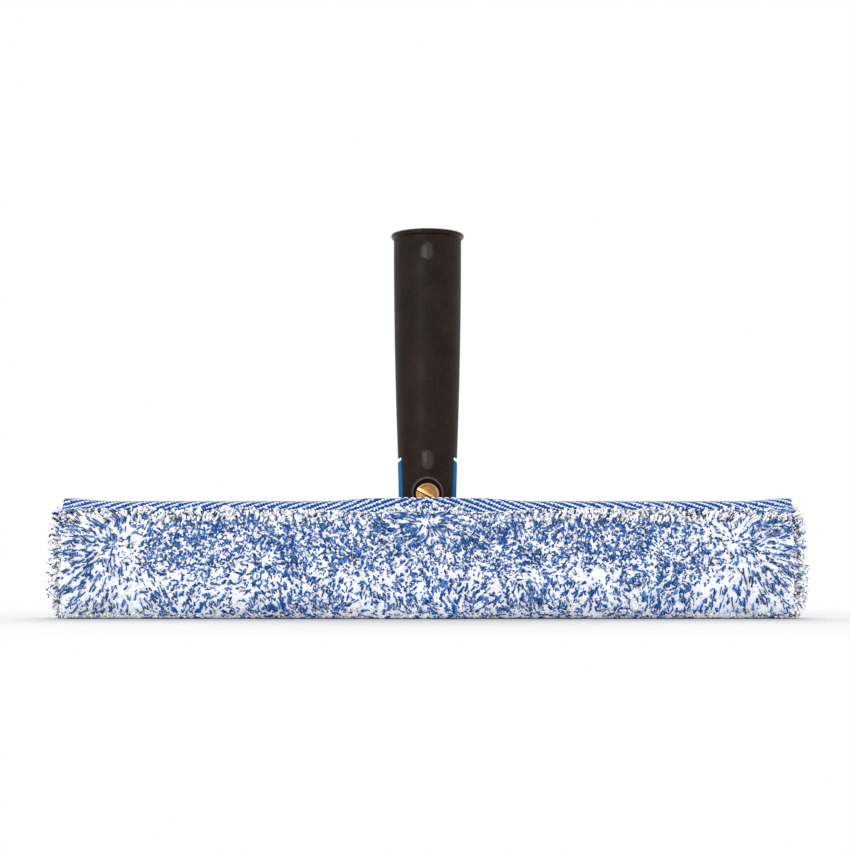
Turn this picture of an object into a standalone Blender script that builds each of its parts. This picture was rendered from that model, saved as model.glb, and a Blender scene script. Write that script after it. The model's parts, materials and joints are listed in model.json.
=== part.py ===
"""Window washer: a microfibre pile sleeve on a moulded T-bar, with a handle that swivels on a brass screw.

Metres, +Z up. The origin is under the middle of the sleeve, on the surface that it stands on. X runs along
the sleeve, and the front, where the screw's head shows, faces -Y.
"""

import math

import bmesh
import bpy
from mathutils import Matrix

# The T-bar, a moulding with open water cells on both faces and a swivel tongue in its middle
BAR_LENGTH = 0.344
BAR_BOTTOM = 0.0110
BAR_TOP = 0.0507
BAR_THICK = 0.015
BAR_CORNER = 0.010
BAR_EDGE = 0.0008
BAR_WEB = 0.0024
CELL_COUNT = 6
CELL_FIRST = 0.0275
CELL_RIB = 0.0028
CELL_WALL = 0.0032
CELL_CORNER = 0.004
DRAIN_LENGTH = 0.010
DRAIN_WIDTH = 0.005

# The swivel: everything in it is measured from the pivot
PIVOT_Z = 0.0586
TONGUE_RADIUS = 0.0210
TONGUE_HALF_TOP = 0.0142
TONGUE_HALF_NECK = 0.0137
TONGUE_THICK = 0.0108
TONGUE_FILLET = 0.005
TONGUE_EDGE = 0.0006
TONGUE_SINK = 0.0006
TONGUE_ROOT_DEPTH = 0.014
TONGUE_ROOT_SIDE = 0.0008
NECK_HALF = 0.026
NECK_FLOOR = -0.0131
SLOT_RADIUS = 0.0226
SLOT_WIDTH = 0.0130
CHEEK_END_RADIUS = 0.0120
SEAT = 0.0090

# The handle, a tapered moulding with a socket for a pole
HANDLE_TOP = 0.1854 - PIVOT_Z
RIM_RADIUS = 0.0177
RIM_HEIGHT = 0.0027
RIM_ROLL_END = -60
TUBE_TOP_RADIUS = 0.0163
TUBE_DROP = 0.00208
TUBE_DROP_LENGTH = 0.1057
TUBE_DROP_POWER = 2.0
SOCKET_MOUTH_RADIUS = 0.0132
SOCKET_FLOOR_RADIUS = 0.0110
SOCKET_FLOOR = 0.0267
SOCKET_CHAMFER = 0.0008
# Each pip's height above the pivot, half width, half height, and how far it stands proud
PIPS = ((0.0164, 0.0033, 0.0044, 0.0010), (0.1159, 0.0036, 0.0041, 0.0007))
PIP_DEPTH = 2.2

# The swivel's fasteners
COUNTERBORE_RADIUS = 0.0068
COUNTERBORE_RISE = 0.0007
SCREW_HEAD_RADIUS = 0.0055
SCREW_HEAD_HEIGHT = 0.0027
SCREW_RADIUS = 0.0030
SCREW_TIP = 0.0136
SCREW_EDGE = 0.0006
SCREW_DISH = 0.00015
SCREW_SLOT_WIDTH = 0.0019
SCREW_SLOT_DEPTH = 0.0013
SCREW_SLOT_ANGLE = math.radians(29)
WASHER_RADIUS = 0.0058
WASHER_THICK = 0.0009
HOLE_RADIUS = 0.0034
BUSH_RADIUS = 0.0049
BUSH_WALL = 0.0014
DISC_RADIUS = 0.0098
DISC_THICK = 0.0005
NUT_ACROSS_FLATS = 0.0100
NUT_THICK = 0.0030
NUT_CHAMFER_HEIGHT = 0.0006
NUT_CHAMFER_INSET = 0.0002
SPRING_RADIUS = 0.0052
SPRING_THICK = 0.0008
SPRING_SPLIT = 0.0006
SPRING_SPLIT_ANGLE = math.radians(20)

# The sleeve: pile all round the bar, with its tips as the outside
PILE_HALF_LENGTH = 0.1730
PILE_END = 0.0072
PILE_HALF_DEPTH = 0.0200
PILE_BULGE = 0.0008
PILE_BULGE_REACH = 0.040
PILE_MIDDLE = 0.0270
PILE_HALF_HEIGHT = 0.0282
PILE_TOP = 0.0510
PILE_SQUARENESS = 3.2
PILE_SQUARENESS_MORE = 1.8
PILE_SQUARENESS_REACH = 0.032
END_HALF_DEPTH = 0.0195
END_TOP = 0.0560
END_SINK = 0.0012
# How the end's oval shrinks: share of the end's length, scale
END_DOME = ((0.0, 1.0), (0.35, 0.99), (0.65, 0.95), (0.88, 0.86), (1.0, 0.68))
POCKET_CLEAR = 0.0004
POCKET_CORNER = 0.0008
THROAT_HALF_WIDTH = 0.0150
THROAT_HALF_LENGTH = 0.026
THROAT_STEP = 0.0450
THROAT_STEP_SLOPE = 0.0008

# The woven bands along the sleeve's top, and the hook and loop tapes that close them
BAND_HALF_LENGTH = 0.1720
BAND_THICK = 0.0011
BAND_SIDE = 0.0134
BAND_SHOULDER = 0.0036
BAND_FRONT_Z = 0.0550
BAND_BACK_Z = 0.05185
BAND_FRONT_EDGE = 0.0095
BAND_BACK_EDGE = -0.0085
BAND_FREE_EDGE_DROP = 0.0003
BAND_PART_FROM = 0.048
BAND_PART_TO = 0.006
BAND_LIP_TOP = 0.0565
BAND_LIP_BACK_LOWER = 0.0004
BAND_LIP_FOOT = 0.0167
BAND_LIP_LEAN = 0.0005
BAND_LIP_DRAW = 0.0009
BAND_END_LIFT = 0.0014
BAND_END_LIFT_FROM = 0.150
BAND_END_LIFT_LENGTH = 0.022
BAND_LIFT = 0.0009
TAPE_HALF_WIDTH = 0.008
TAPE_THICK = 0.0006
TAPE_FROM = 0.050
TAPE_TO = 0.168
TAPE_CORNER = 0.002

GAP = 0.0003
FIT_GAP = 0.0002

# How finely round shapes are divided
ROUND_STEPS = 40
SMALL_STEPS = 24
ARC_STEPS = 20
ROLL_STEPS = 7
CORNER_STEPS = 5
FINE_STEPS = 3
BEVEL_STEPS = 2
TUBE_STEPS = 16
SIDE_STEPS = 12
PIP_SEGMENTS = 16
PIP_RINGS = 10
END_POINTS = 36
BAND_BACK_POINTS = 8
# Stations along half of the sleeve: up to where they lie closer, and how many there and beyond
PILE_STATIONS = (0.044, 9, 6)
BAND_STATIONS = (BAND_PART_FROM, 12, 6)

# Working values: how far a cutter passes through, what counts as one point, and which edges stay sharp
REACH = 0.05
OVERSHOOT = 0.0001
ONE_POINT = 1e-6
FLAT_ANGLE = 0.001
BEVEL_ANGLE = math.radians(50)
HARD_ANGLE = math.radians(35)
SOFT_ANGLE = math.radians(60)


def remove_everything():
    for thing in list(bpy.data.objects):
        bpy.data.objects.remove(thing)


def collection(name):
    made = bpy.data.collections.new(name)
    bpy.context.scene.collection.children.link(made)
    return made


def finish_of(name, colour, roughness, metallic=0.0):
    made = bpy.data.materials.new(name)
    made.use_nodes = True
    shader = made.node_tree.nodes["Principled BSDF"]
    shader.inputs["Base Color"].default_value = (*colour, 1)
    shader.inputs["Roughness"].default_value = roughness
    shader.inputs["Metallic"].default_value = metallic
    return made


def arc(x, z, radius, start, end, count):
    """Points along an arc, from one angle to another in degrees, counted from +X towards +Z."""
    turns = [math.radians(start + (end - start) * i / count) for i in range(count + 1)]
    return [(x + radius * math.cos(a), z + radius * math.sin(a)) for a in turns]


def as_object(name, mesh, where):
    made = bpy.data.objects.new(name, mesh)
    where.objects.link(made)
    return made


def mesh_from(name, points, faces):
    mesh = bpy.data.meshes.new(name)
    mesh.from_pydata(points, [], faces)
    mesh.update()
    return mesh


def slab(name, outline, front, back, where):
    """A flat piece: a closed outline in X and Z, solid from y = front to y = back."""
    curve = bpy.data.curves.new(name, "CURVE")
    curve.dimensions = "2D"
    curve.fill_mode = "BOTH"
    curve.extrude = (back - front) / 2
    spline = curve.splines.new("POLY")
    spline.points.add(len(outline) - 1)
    for point, (x, z) in zip(spline.points, outline):
        point.co = (x, z, 0, 1)
    spline.use_cyclic_u = True
    drawn = as_object(name + "_outline", curve, where)
    bpy.context.view_layer.update()
    mesh = bpy.data.meshes.new_from_object(drawn.evaluated_get(bpy.context.evaluated_depsgraph_get()))
    bpy.data.objects.remove(drawn)
    middle = Matrix.Translation((0, (front + back) / 2, 0))
    mesh.transform(middle @ Matrix.Rotation(math.pi / 2, 4, "X"))
    body = bmesh.new()
    body.from_mesh(mesh)
    bmesh.ops.remove_doubles(body, verts=body.verts, dist=ONE_POINT)
    bmesh.ops.dissolve_limit(body, angle_limit=FLAT_ANGLE, verts=body.verts, edges=body.edges)
    bmesh.ops.recalc_face_normals(body, faces=body.faces)
    body.to_mesh(mesh)
    body.free()
    return as_object(name, mesh, where)


def turned(name, profile, steps, where, closed=False):
    """A turned piece: a profile of (radius, height) pairs that runs down its outer side, spun about Z."""
    last = len(profile) - 1
    edges = [(i, i + 1) for i in range(last)] + ([(last, 0)] if closed else [])
    mesh = bpy.data.meshes.new(name)
    mesh.from_pydata([(r, 0, z) for r, z in profile], edges, [])
    made = as_object(name, mesh, where)
    spin = made.modifiers.new("Turn", "SCREW")
    spin.steps = spin.render_steps = steps
    spin.use_merge_vertices = True
    spin.merge_threshold = ONE_POINT
    freeze(made)
    return made


def ring(name, inner, outer, low, high, steps, where):
    """A plain washer or bush about Z."""
    section = [(inner, high), (outer, high), (outer, low), (inner, low)]
    return turned(name, section, steps, where, closed=True)


def face_forward(made):
    """Turns a piece made about Z so that its top faces the front, -Y."""
    made.data.transform(Matrix.Rotation(math.pi / 2, 4, "X"))
    return made


def cylinder(name, radius, front, back, steps, where, height=0.0):
    """A cylinder along Y, with its axis at a height."""
    body = bmesh.new()
    size = {"radius1": radius, "radius2": radius, "depth": back - front}
    bmesh.ops.create_cone(body, cap_ends=True, segments=steps, **size)
    mesh = bpy.data.meshes.new(name)
    body.to_mesh(mesh)
    body.free()
    middle = Matrix.Translation((0, (front + back) / 2, height))
    mesh.transform(middle @ Matrix.Rotation(math.pi / 2, 4, "X"))
    return as_object(name, mesh, where)


def box(name, low, high, where, rounded=0.0, along=""):
    """A box between two corners, with the edges that run along one axis rounded."""
    body = bmesh.new()
    bmesh.ops.create_cube(body, size=1)
    size = [b - a for a, b in zip(low, high)]
    middle = [(a + b) / 2 for a, b in zip(low, high)]
    bmesh.ops.scale(body, vec=size, verts=body.verts)
    bmesh.ops.translate(body, vec=middle, verts=body.verts)
    if rounded:
        axis = "XYZ".index(along)
        edges = [e for e in body.edges if abs((e.verts[0].co - e.verts[1].co)[axis]) > size[axis] / 2]
        bmesh.ops.bevel(body, geom=edges, offset=rounded, segments=FINE_STEPS, affect="EDGES", profile=0.5)
    mesh = bpy.data.meshes.new(name)
    body.to_mesh(mesh)
    body.free()
    return as_object(name, mesh, where)


def combine(made, other, operation="DIFFERENCE"):
    """Cuts a piece by another, or joins them, and hides the other as a construction shape."""
    step = made.modifiers.new(other.name, "BOOLEAN")
    step.operation = operation
    step.object = other
    other.hide_render = True
    other.display_type = "WIRE"


def round_edges(made, width):
    step = made.modifiers.new("Rounded edges", "BEVEL")
    step.width = width
    step.segments = BEVEL_STEPS
    step.limit_method = "ANGLE"
    step.angle_limit = BEVEL_ANGLE


def repeat(made, count, step):
    array = made.modifiers.new("Row", "ARRAY")
    array.count = count
    array.use_relative_offset = False
    array.use_constant_offset = True
    array.constant_offset_displace = (step, 0, 0)


def mirror(made, also_back=False):
    """Repeats a piece on the other side of the middle, and behind as well if asked."""
    step = made.modifiers.new("Other side", "MIRROR")
    step.use_axis = (True, also_back, False)
    step.use_mirror_merge = False


def freeze(made):
    """Turns a piece's modifiers into its own mesh."""
    bpy.context.view_layer.update()
    shaped = made.evaluated_get(bpy.context.evaluated_depsgraph_get())
    mesh = bpy.data.meshes.new_from_object(shaped)
    made.modifiers.clear()
    made.data = mesh
    mesh.name = made.name


def shade(made, material, sharp_from=HARD_ANGLE):
    made.data.materials.clear()
    made.data.materials.append(material)
    made.data.shade_smooth()
    made.data.set_sharp_from_angle(angle=sharp_from)


def loft(rings):
    """Points and faces of a closed solid through rings of equal count, with a flat cap at both ends."""
    count = len(rings[0])
    points = [point for one in rings for point in one]
    faces = []
    for i in range(len(rings) - 1):
        for j in range(count):
            k = (j + 1) % count
            a = i * count
            b = a + count
            faces.append((a + j, a + k, b + k, b + j))
    faces.append(tuple(reversed(range(count))))
    faces.append(tuple(range(len(points) - count, len(points))))
    return points, faces


def lofted(name, rings, where):
    mesh = mesh_from(name, *loft(rings))
    body = bmesh.new()
    body.from_mesh(mesh)
    bmesh.ops.recalc_face_normals(body, faces=body.faces)
    body.to_mesh(mesh)
    body.free()
    return as_object(name, mesh, where)


def bar_outline():
    """The bar's outline, with a shallow notch in its top where the handle's cheeks swing."""
    half = BAR_LENGTH / 2
    inset = half - BAR_CORNER
    low = BAR_BOTTOM + BAR_CORNER
    high = BAR_TOP - BAR_CORNER
    neck = PIVOT_Z + NECK_FLOOR
    points = arc(inset, low, BAR_CORNER, -90, 0, CORNER_STEPS)
    points += arc(inset, high, BAR_CORNER, 0, 90, CORNER_STEPS)
    points += [(NECK_HALF, BAR_TOP), (NECK_HALF, neck), (-NECK_HALF, neck), (-NECK_HALF, BAR_TOP)]
    points += arc(-inset, high, BAR_CORNER, 90, 180, CORNER_STEPS)
    points += arc(-inset, low, BAR_CORNER, 180, 270, CORNER_STEPS)
    return points


def tongue_outline():
    """The tongue: a head with an arc about the pivot, a straight neck, and fillets out to the bar's top."""
    corner = math.degrees(math.asin(TONGUE_HALF_TOP / TONGUE_RADIUS))
    foot = BAR_TOP - PIVOT_Z - TONGUE_SINK
    root = foot - TONGUE_ROOT_DEPTH
    wide = NECK_HALF + TONGUE_ROOT_SIDE
    fillet_x = TONGUE_HALF_NECK + TONGUE_FILLET
    fillet_z = foot + TONGUE_FILLET
    points = arc(0, 0, TONGUE_RADIUS, 90 - corner, 90 + corner, ARC_STEPS)
    points += arc(-fillet_x, fillet_z, TONGUE_FILLET, 0, -90, CORNER_STEPS)
    points += [(-wide, foot), (-wide, root), (wide, root), (wide, foot)]
    points += arc(fillet_x, fillet_z, TONGUE_FILLET, -90, -180, CORNER_STEPS)
    return [(x, z + PIVOT_Z) for x, z in points]


def make_t_bar(where, cutters):
    """The blue carrier: a plate with cells on both faces, a through slot in each web, and the tongue."""
    bar = slab("t_bar", bar_outline(), -BAR_THICK / 2, BAR_THICK / 2, where)
    round_edges(bar, BAR_EDGE)
    pitch = (BAR_LENGTH / 2 - CELL_WALL + CELL_RIB - CELL_FIRST) / CELL_COUNT
    width = pitch - CELL_RIB
    low = BAR_BOTTOM + CELL_WALL
    high = BAR_TOP - CELL_WALL
    cells = box(
        "cell_cutter",
        (CELL_FIRST, BAR_WEB / 2, low),
        (CELL_FIRST + width, BAR_THICK, high),
        cutters,
        rounded=CELL_CORNER,
        along="Y",
    )
    repeat(cells, CELL_COUNT, pitch)
    mirror(cells, also_back=True)
    combine(bar, cells)
    middle = CELL_FIRST + width / 2
    half = DRAIN_LENGTH / 2 - DRAIN_WIDTH / 2
    level = low + DRAIN_WIDTH
    slot = arc(middle + half, level, DRAIN_WIDTH / 2, -90, 90, CORNER_STEPS)
    slot += arc(middle - half, level, DRAIN_WIDTH / 2, 90, 270, CORNER_STEPS)
    drains = slab("drain_cutter", slot, -BAR_THICK, BAR_THICK, cutters)
    repeat(drains, CELL_COUNT, pitch)
    mirror(drains)
    combine(bar, drains)
    tongue = slab("tongue", tongue_outline(), -TONGUE_THICK / 2, TONGUE_THICK / 2, cutters)
    round_edges(tongue, TONGUE_EDGE)
    combine(bar, tongue, "UNION")
    bore = BUSH_RADIUS + FIT_GAP
    combine(bar, cylinder("tongue_bore", bore, -REACH, REACH, SMALL_STEPS, cutters, PIVOT_Z))
    freeze(bar)
    return bar


def tube_radius(height):
    """The handle's outer radius: nearly straight under the rim, and narrowing faster towards the fork."""
    below = max(0.0, HANDLE_TOP - RIM_HEIGHT - height)
    return TUBE_TOP_RADIUS - TUBE_DROP * (below / TUBE_DROP_LENGTH) ** TUBE_DROP_POWER


def handle_profile():
    """The handle's profile: socket floor and wall, mouth, rolled rim, outer side and closed foot."""
    rim_low = HANDLE_TOP - RIM_HEIGHT
    nose = RIM_HEIGHT / 2
    profile = [
        (0, SOCKET_FLOOR),
        (SOCKET_FLOOR_RADIUS, SOCKET_FLOOR),
        (SOCKET_MOUTH_RADIUS, HANDLE_TOP - SOCKET_CHAMFER),
        (SOCKET_MOUTH_RADIUS + SOCKET_CHAMFER, HANDLE_TOP),
    ]
    profile += arc(RIM_RADIUS - nose, HANDLE_TOP - nose, nose, 90, RIM_ROLL_END, ROLL_STEPS)
    foot = -CHEEK_END_RADIUS
    for i in range(TUBE_STEPS + 1):
        height = rim_low + (foot - rim_low) * i / TUBE_STEPS
        profile.append((tube_radius(height), height))
    return profile + [(0, foot)]


def make_handle(where, cutters):
    """The black handle: socket above, fork below, a counterbore in front and a hexagon pocket behind."""
    handle = turned("handle", handle_profile(), ROUND_STEPS, where)
    slot = arc(0, 0, SLOT_RADIUS, 0, 180, ARC_STEPS) + [(-SLOT_RADIUS, -REACH), (SLOT_RADIUS, -REACH)]
    combine(handle, slab("fork_slot", slot, -SLOT_WIDTH / 2, SLOT_WIDTH / 2, cutters))
    end = arc(0, 0, CHEEK_END_RADIUS, 180, 360, ARC_STEPS)
    end = [(-REACH, 0)] + end + [(REACH, 0), (REACH, -REACH), (-REACH, -REACH)]
    combine(handle, slab("cheek_end", end, -REACH, REACH, cutters))
    for place, size in (("low", PIPS[0]), ("high", PIPS[1])):
        combine(handle, make_pip(f"pip_front_{place}", *size, -1, cutters), "UNION")
        combine(handle, make_pip(f"pip_back_{place}", *size, 1, cutters), "UNION")
    recess = (COUNTERBORE_RADIUS, -REACH, -SEAT, ROUND_STEPS, cutters, COUNTERBORE_RISE)
    combine(handle, cylinder("counterbore", *recess))
    combine(handle, cylinder("screw_hole", HOLE_RADIUS, -REACH, REACH, SMALL_STEPS, cutters))
    across_corners = (NUT_ACROSS_FLATS / 2 + GAP) / math.cos(math.pi / 6)
    combine(handle, cylinder("nut_pocket", across_corners, SEAT, REACH, 6, cutters))
    freeze(handle)
    return handle


def make_pip(name, height, half_width, half_height, proud, facing, where):
    """A raised oval pip on the handle's face, with the rest of its depth sunk in the wall."""
    body = bmesh.new()
    bmesh.ops.create_uvsphere(body, u_segments=PIP_SEGMENTS, v_segments=PIP_RINGS, radius=1)
    depth = proud * PIP_DEPTH
    bmesh.ops.scale(body, vec=(half_width, depth, half_height), verts=body.verts)
    surface = tube_radius(height)
    bmesh.ops.translate(body, vec=(0, facing * (surface - depth + proud), height), verts=body.verts)
    mesh = bpy.data.meshes.new(name)
    body.to_mesh(mesh)
    body.free()
    return as_object(name, mesh, where)


def make_screw(where, cutters):
    """The brass cheese-head screw, with a dished face and a wide slot that a coin turns."""
    face = SEAT + GAP + WASHER_THICK + FIT_GAP + SCREW_HEAD_HEIGHT
    under = face - SCREW_HEAD_HEIGHT
    dish = [(0, face - SCREW_DISH), (SCREW_HEAD_RADIUS / 2, face - SCREW_DISH)]
    edge = arc(SCREW_HEAD_RADIUS - SCREW_EDGE, face - SCREW_EDGE, SCREW_EDGE, 90, 0, FINE_STEPS)
    shank = [
        (SCREW_HEAD_RADIUS, under),
        (SCREW_RADIUS, under),
        (SCREW_RADIUS, -SCREW_TIP + SCREW_EDGE),
        (SCREW_RADIUS - SCREW_EDGE, -SCREW_TIP),
        (0, -SCREW_TIP),
    ]
    profile = dish + edge + shank
    screw = face_forward(turned("swivel_screw", profile, ROUND_STEPS, where))
    half = SCREW_SLOT_WIDTH / 2
    slot = box(
        "screw_slot",
        (-REACH, -REACH, -half),
        (REACH, -face + SCREW_SLOT_DEPTH, half),
        cutters,
    )
    slot.rotation_euler = (0, SCREW_SLOT_ANGLE, 0)
    combine(screw, slot)
    freeze(screw)
    return screw


def make_nut(where, cutters):
    """A hexagon nut with chamfered corners, in the pocket behind."""
    front = SEAT + GAP + SPRING_THICK + FIT_GAP
    back = front + NUT_THICK
    across = NUT_ACROSS_FLATS / 2 / math.cos(math.pi / 6)
    nut = cylinder("swivel_nut", across, front, back, 6, where)
    profile = [
        (0, -front + OVERSHOOT),
        (across + OVERSHOOT, -front + OVERSHOOT),
        (across + OVERSHOOT, -back + NUT_CHAMFER_HEIGHT),
        (NUT_ACROSS_FLATS / 2 - NUT_CHAMFER_INSET, -back - OVERSHOOT),
        (0, -back - OVERSHOOT),
    ]
    crown = face_forward(turned("nut_crown", profile, SMALL_STEPS, cutters))
    combine(nut, crown, "INTERSECT")
    combine(nut, cylinder("nut_thread", SCREW_RADIUS + FIT_GAP, -REACH, REACH, SMALL_STEPS, cutters))
    freeze(nut)
    return nut


def make_spring_washer(where, cutters):
    """A split spring washer, clamped flat under the nut."""
    back = -SEAT - GAP
    washer = ring("spring_washer", HOLE_RADIUS, SPRING_RADIUS, back - SPRING_THICK, back, SMALL_STEPS, where)
    face_forward(washer)
    split = box("washer_split", (0, -REACH, -SPRING_SPLIT / 2), (REACH, REACH, SPRING_SPLIT / 2), cutters)
    split.rotation_euler = (SPRING_SPLIT_ANGLE, 0, 0)
    combine(washer, split)
    freeze(washer)
    return washer


def throat(x):
    """What the lens-shaped opening round the handle's fork adds to the pocket's half width."""
    bar = BAR_THICK / 2 + POCKET_CLEAR
    return (THROAT_HALF_WIDTH - bar) * max(0.0, 1 - (x / THROAT_HALF_LENGTH) ** 2)


def pile_section(x):
    """The sleeve's section: squarish oval outside, and inside a pocket for the bar, open at the top."""
    depth = PILE_HALF_DEPTH + PILE_BULGE * math.exp(-((x / PILE_BULGE_REACH) ** 2))
    power = PILE_SQUARENESS + PILE_SQUARENESS_MORE * math.exp(-((x / PILE_SQUARENESS_REACH) ** 2))
    cut = 1 - abs((PILE_TOP - PILE_MIDDLE) / PILE_HALF_HEIGHT) ** power
    start = math.asin(min(1.0, math.sqrt(cut)))
    flat = 1 - abs(PILE_MIDDLE / PILE_HALF_HEIGHT) ** power
    stop = math.asin(min(1.0, math.sqrt(flat)))
    side = []
    for i in range(SIDE_STEPS + 1):
        angle = start + (math.pi - stop - start) * i / SIDE_STEPS
        y = depth * abs(math.sin(angle)) ** (2 / power)
        height = PILE_HALF_HEIGHT * math.copysign(abs(math.cos(angle)) ** (2 / power), math.cos(angle))
        side.append((y, PILE_MIDDLE + height))
    outside = [(-y, z) for y, z in side] + [(y, z) for y, z in reversed(side)]
    bar = BAR_THICK / 2 + POCKET_CLEAR
    wide = bar + throat(x)
    floor = BAR_BOTTOM - POCKET_CLEAR
    corner = arc(bar - POCKET_CORNER, floor + POCKET_CORNER, POCKET_CORNER, 0, -90, FINE_STEPS)
    pocket = [(wide, PILE_TOP), (wide, THROAT_STEP + THROAT_STEP_SLOPE), (bar, THROAT_STEP)] + corner
    inside = pocket + [(-y, z) for y, z in reversed(pocket)]
    return [(x, y, z) for y, z in outside + inside]


def stations(half, near, count_near, count_far):
    """Places along X, closer together near the middle."""
    inner = [near * i / count_near for i in range(count_near + 1)]
    outer = [near + (half - near) * i / count_far for i in range(1, count_far + 1)]
    right = inner + outer
    return [-x for x in reversed(right[1:])] + right


def make_pile(where):
    """The main pile panel, folded under the bar from its front to its back."""
    places = stations(PILE_HALF_LENGTH, *PILE_STATIONS)
    return lofted("sleeve_pile", [pile_section(x) for x in places], where)


def end_ring(x, scale):
    """A squarish oval at one end of the sleeve, flat where it stands."""
    middle = (END_TOP - END_SINK) / 2
    points = []
    for i in range(END_POINTS):
        angle = 2 * math.pi * i / END_POINTS
        y = math.copysign(abs(math.sin(angle)) ** (2 / PILE_SQUARENESS), math.sin(angle))
        z = math.copysign(abs(math.cos(angle)) ** (2 / PILE_SQUARENESS), math.cos(angle))
        height = middle + (middle + END_SINK) * scale * z
        points.append((x, END_HALF_DEPTH * scale * y, max(0.0, height)))
    return points


def make_end(name, side, where):
    """A domed pile panel that closes one end of the sleeve."""
    start = PILE_HALF_LENGTH + GAP
    rings = [end_ring(side * (start + PILE_END * t), scale) for t, scale in END_DOME]
    return lofted(name, rings, where)


def smooth(t):
    t = min(1.0, max(0.0, t))
    return t * t * (3 - 2 * t)


def mixed(one, other, share):
    return [tuple(a + (b - a) * share for a, b in zip(p, q)) for p, q in zip(one, other)]


def closed_share(x):
    """0 where a band stands up round the fork, 1 where it lies closed over the bar."""
    return smooth((abs(x) - BAND_PART_TO) / (BAND_PART_FROM - BAND_PART_TO))


def lip_line(side, top, count):
    """A band's section where it stands up round the fork: a slightly bowed line that leans in."""
    foot = PILE_TOP + BAND_LIFT
    line = []
    for i in range(count):
        t = i / (count - 1)
        y = BAND_LIP_FOOT + BAND_LIP_LEAN * math.sin(math.pi * t) - BAND_LIP_DRAW * t
        line.append((side * y, foot + (top - foot) * t))
    return line


def band_front_line(x):
    """The front band's section: over the top from the pile's edge, or a standing lip at the throat."""
    top = BAND_FRONT_Z + BAND_END_LIFT * smooth((abs(x) - BAND_END_LIFT_FROM) / BAND_END_LIFT_LENGTH)
    bend = BAND_SHOULDER
    foot = BAND_SIDE - BAND_THICK / 2
    closed = arc(-foot + bend, top - bend, bend, 180, 90, CORNER_STEPS)
    closed += [(-BAND_FRONT_EDGE / 3, top), (BAND_FRONT_EDGE / 3, top)]
    closed.append((BAND_FRONT_EDGE, top - BAND_FREE_EDGE_DROP))
    return mixed(lip_line(-1, BAND_LIP_TOP, len(closed)), closed, closed_share(x))


def band_back_line(x):
    """The back band's section: flat over the bar under the front band, or a standing lip at the throat."""
    edge = BAND_SIDE - BAND_THICK / 2
    step = (BAND_BACK_EDGE - edge) / (BAND_BACK_POINTS - 1)
    closed = [(edge + step * i, BAND_BACK_Z) for i in range(BAND_BACK_POINTS)]
    return mixed(lip_line(1, BAND_LIP_TOP - BAND_LIP_BACK_LOWER, len(closed)), closed, closed_share(x))


def make_band(name, line, where):
    """A woven band, as a sheet through one line at each station, given its thickness."""
    places = stations(BAND_HALF_LENGTH, *BAND_STATIONS)
    rows = [[(x, y, z) for y, z in line(x)] for x in places]
    count = len(rows[0])
    points = [point for row in rows for point in row]
    faces = []
    for i in range(len(rows) - 1):
        for j in range(count - 1):
            a = i * count + j
            faces.append((a, a + count, a + count + 1, a + 1))
    band = as_object(name, mesh_from(name, points, faces), where)
    shell = band.modifiers.new("Cloth", "SOLIDIFY")
    shell.thickness = BAND_THICK
    shell.offset = 0
    freeze(band)
    return band


def make_tape(name, side, low, where):
    """A flat strip of hook or loop tape between the two bands, on one side of the throat."""
    near, far = sorted((side * TAPE_FROM, side * TAPE_TO))
    corners = (near, -TAPE_HALF_WIDTH, low), (far, TAPE_HALF_WIDTH, low + TAPE_THICK)
    return box(name, *corners, where, rounded=TAPE_CORNER, along="Z")


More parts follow.
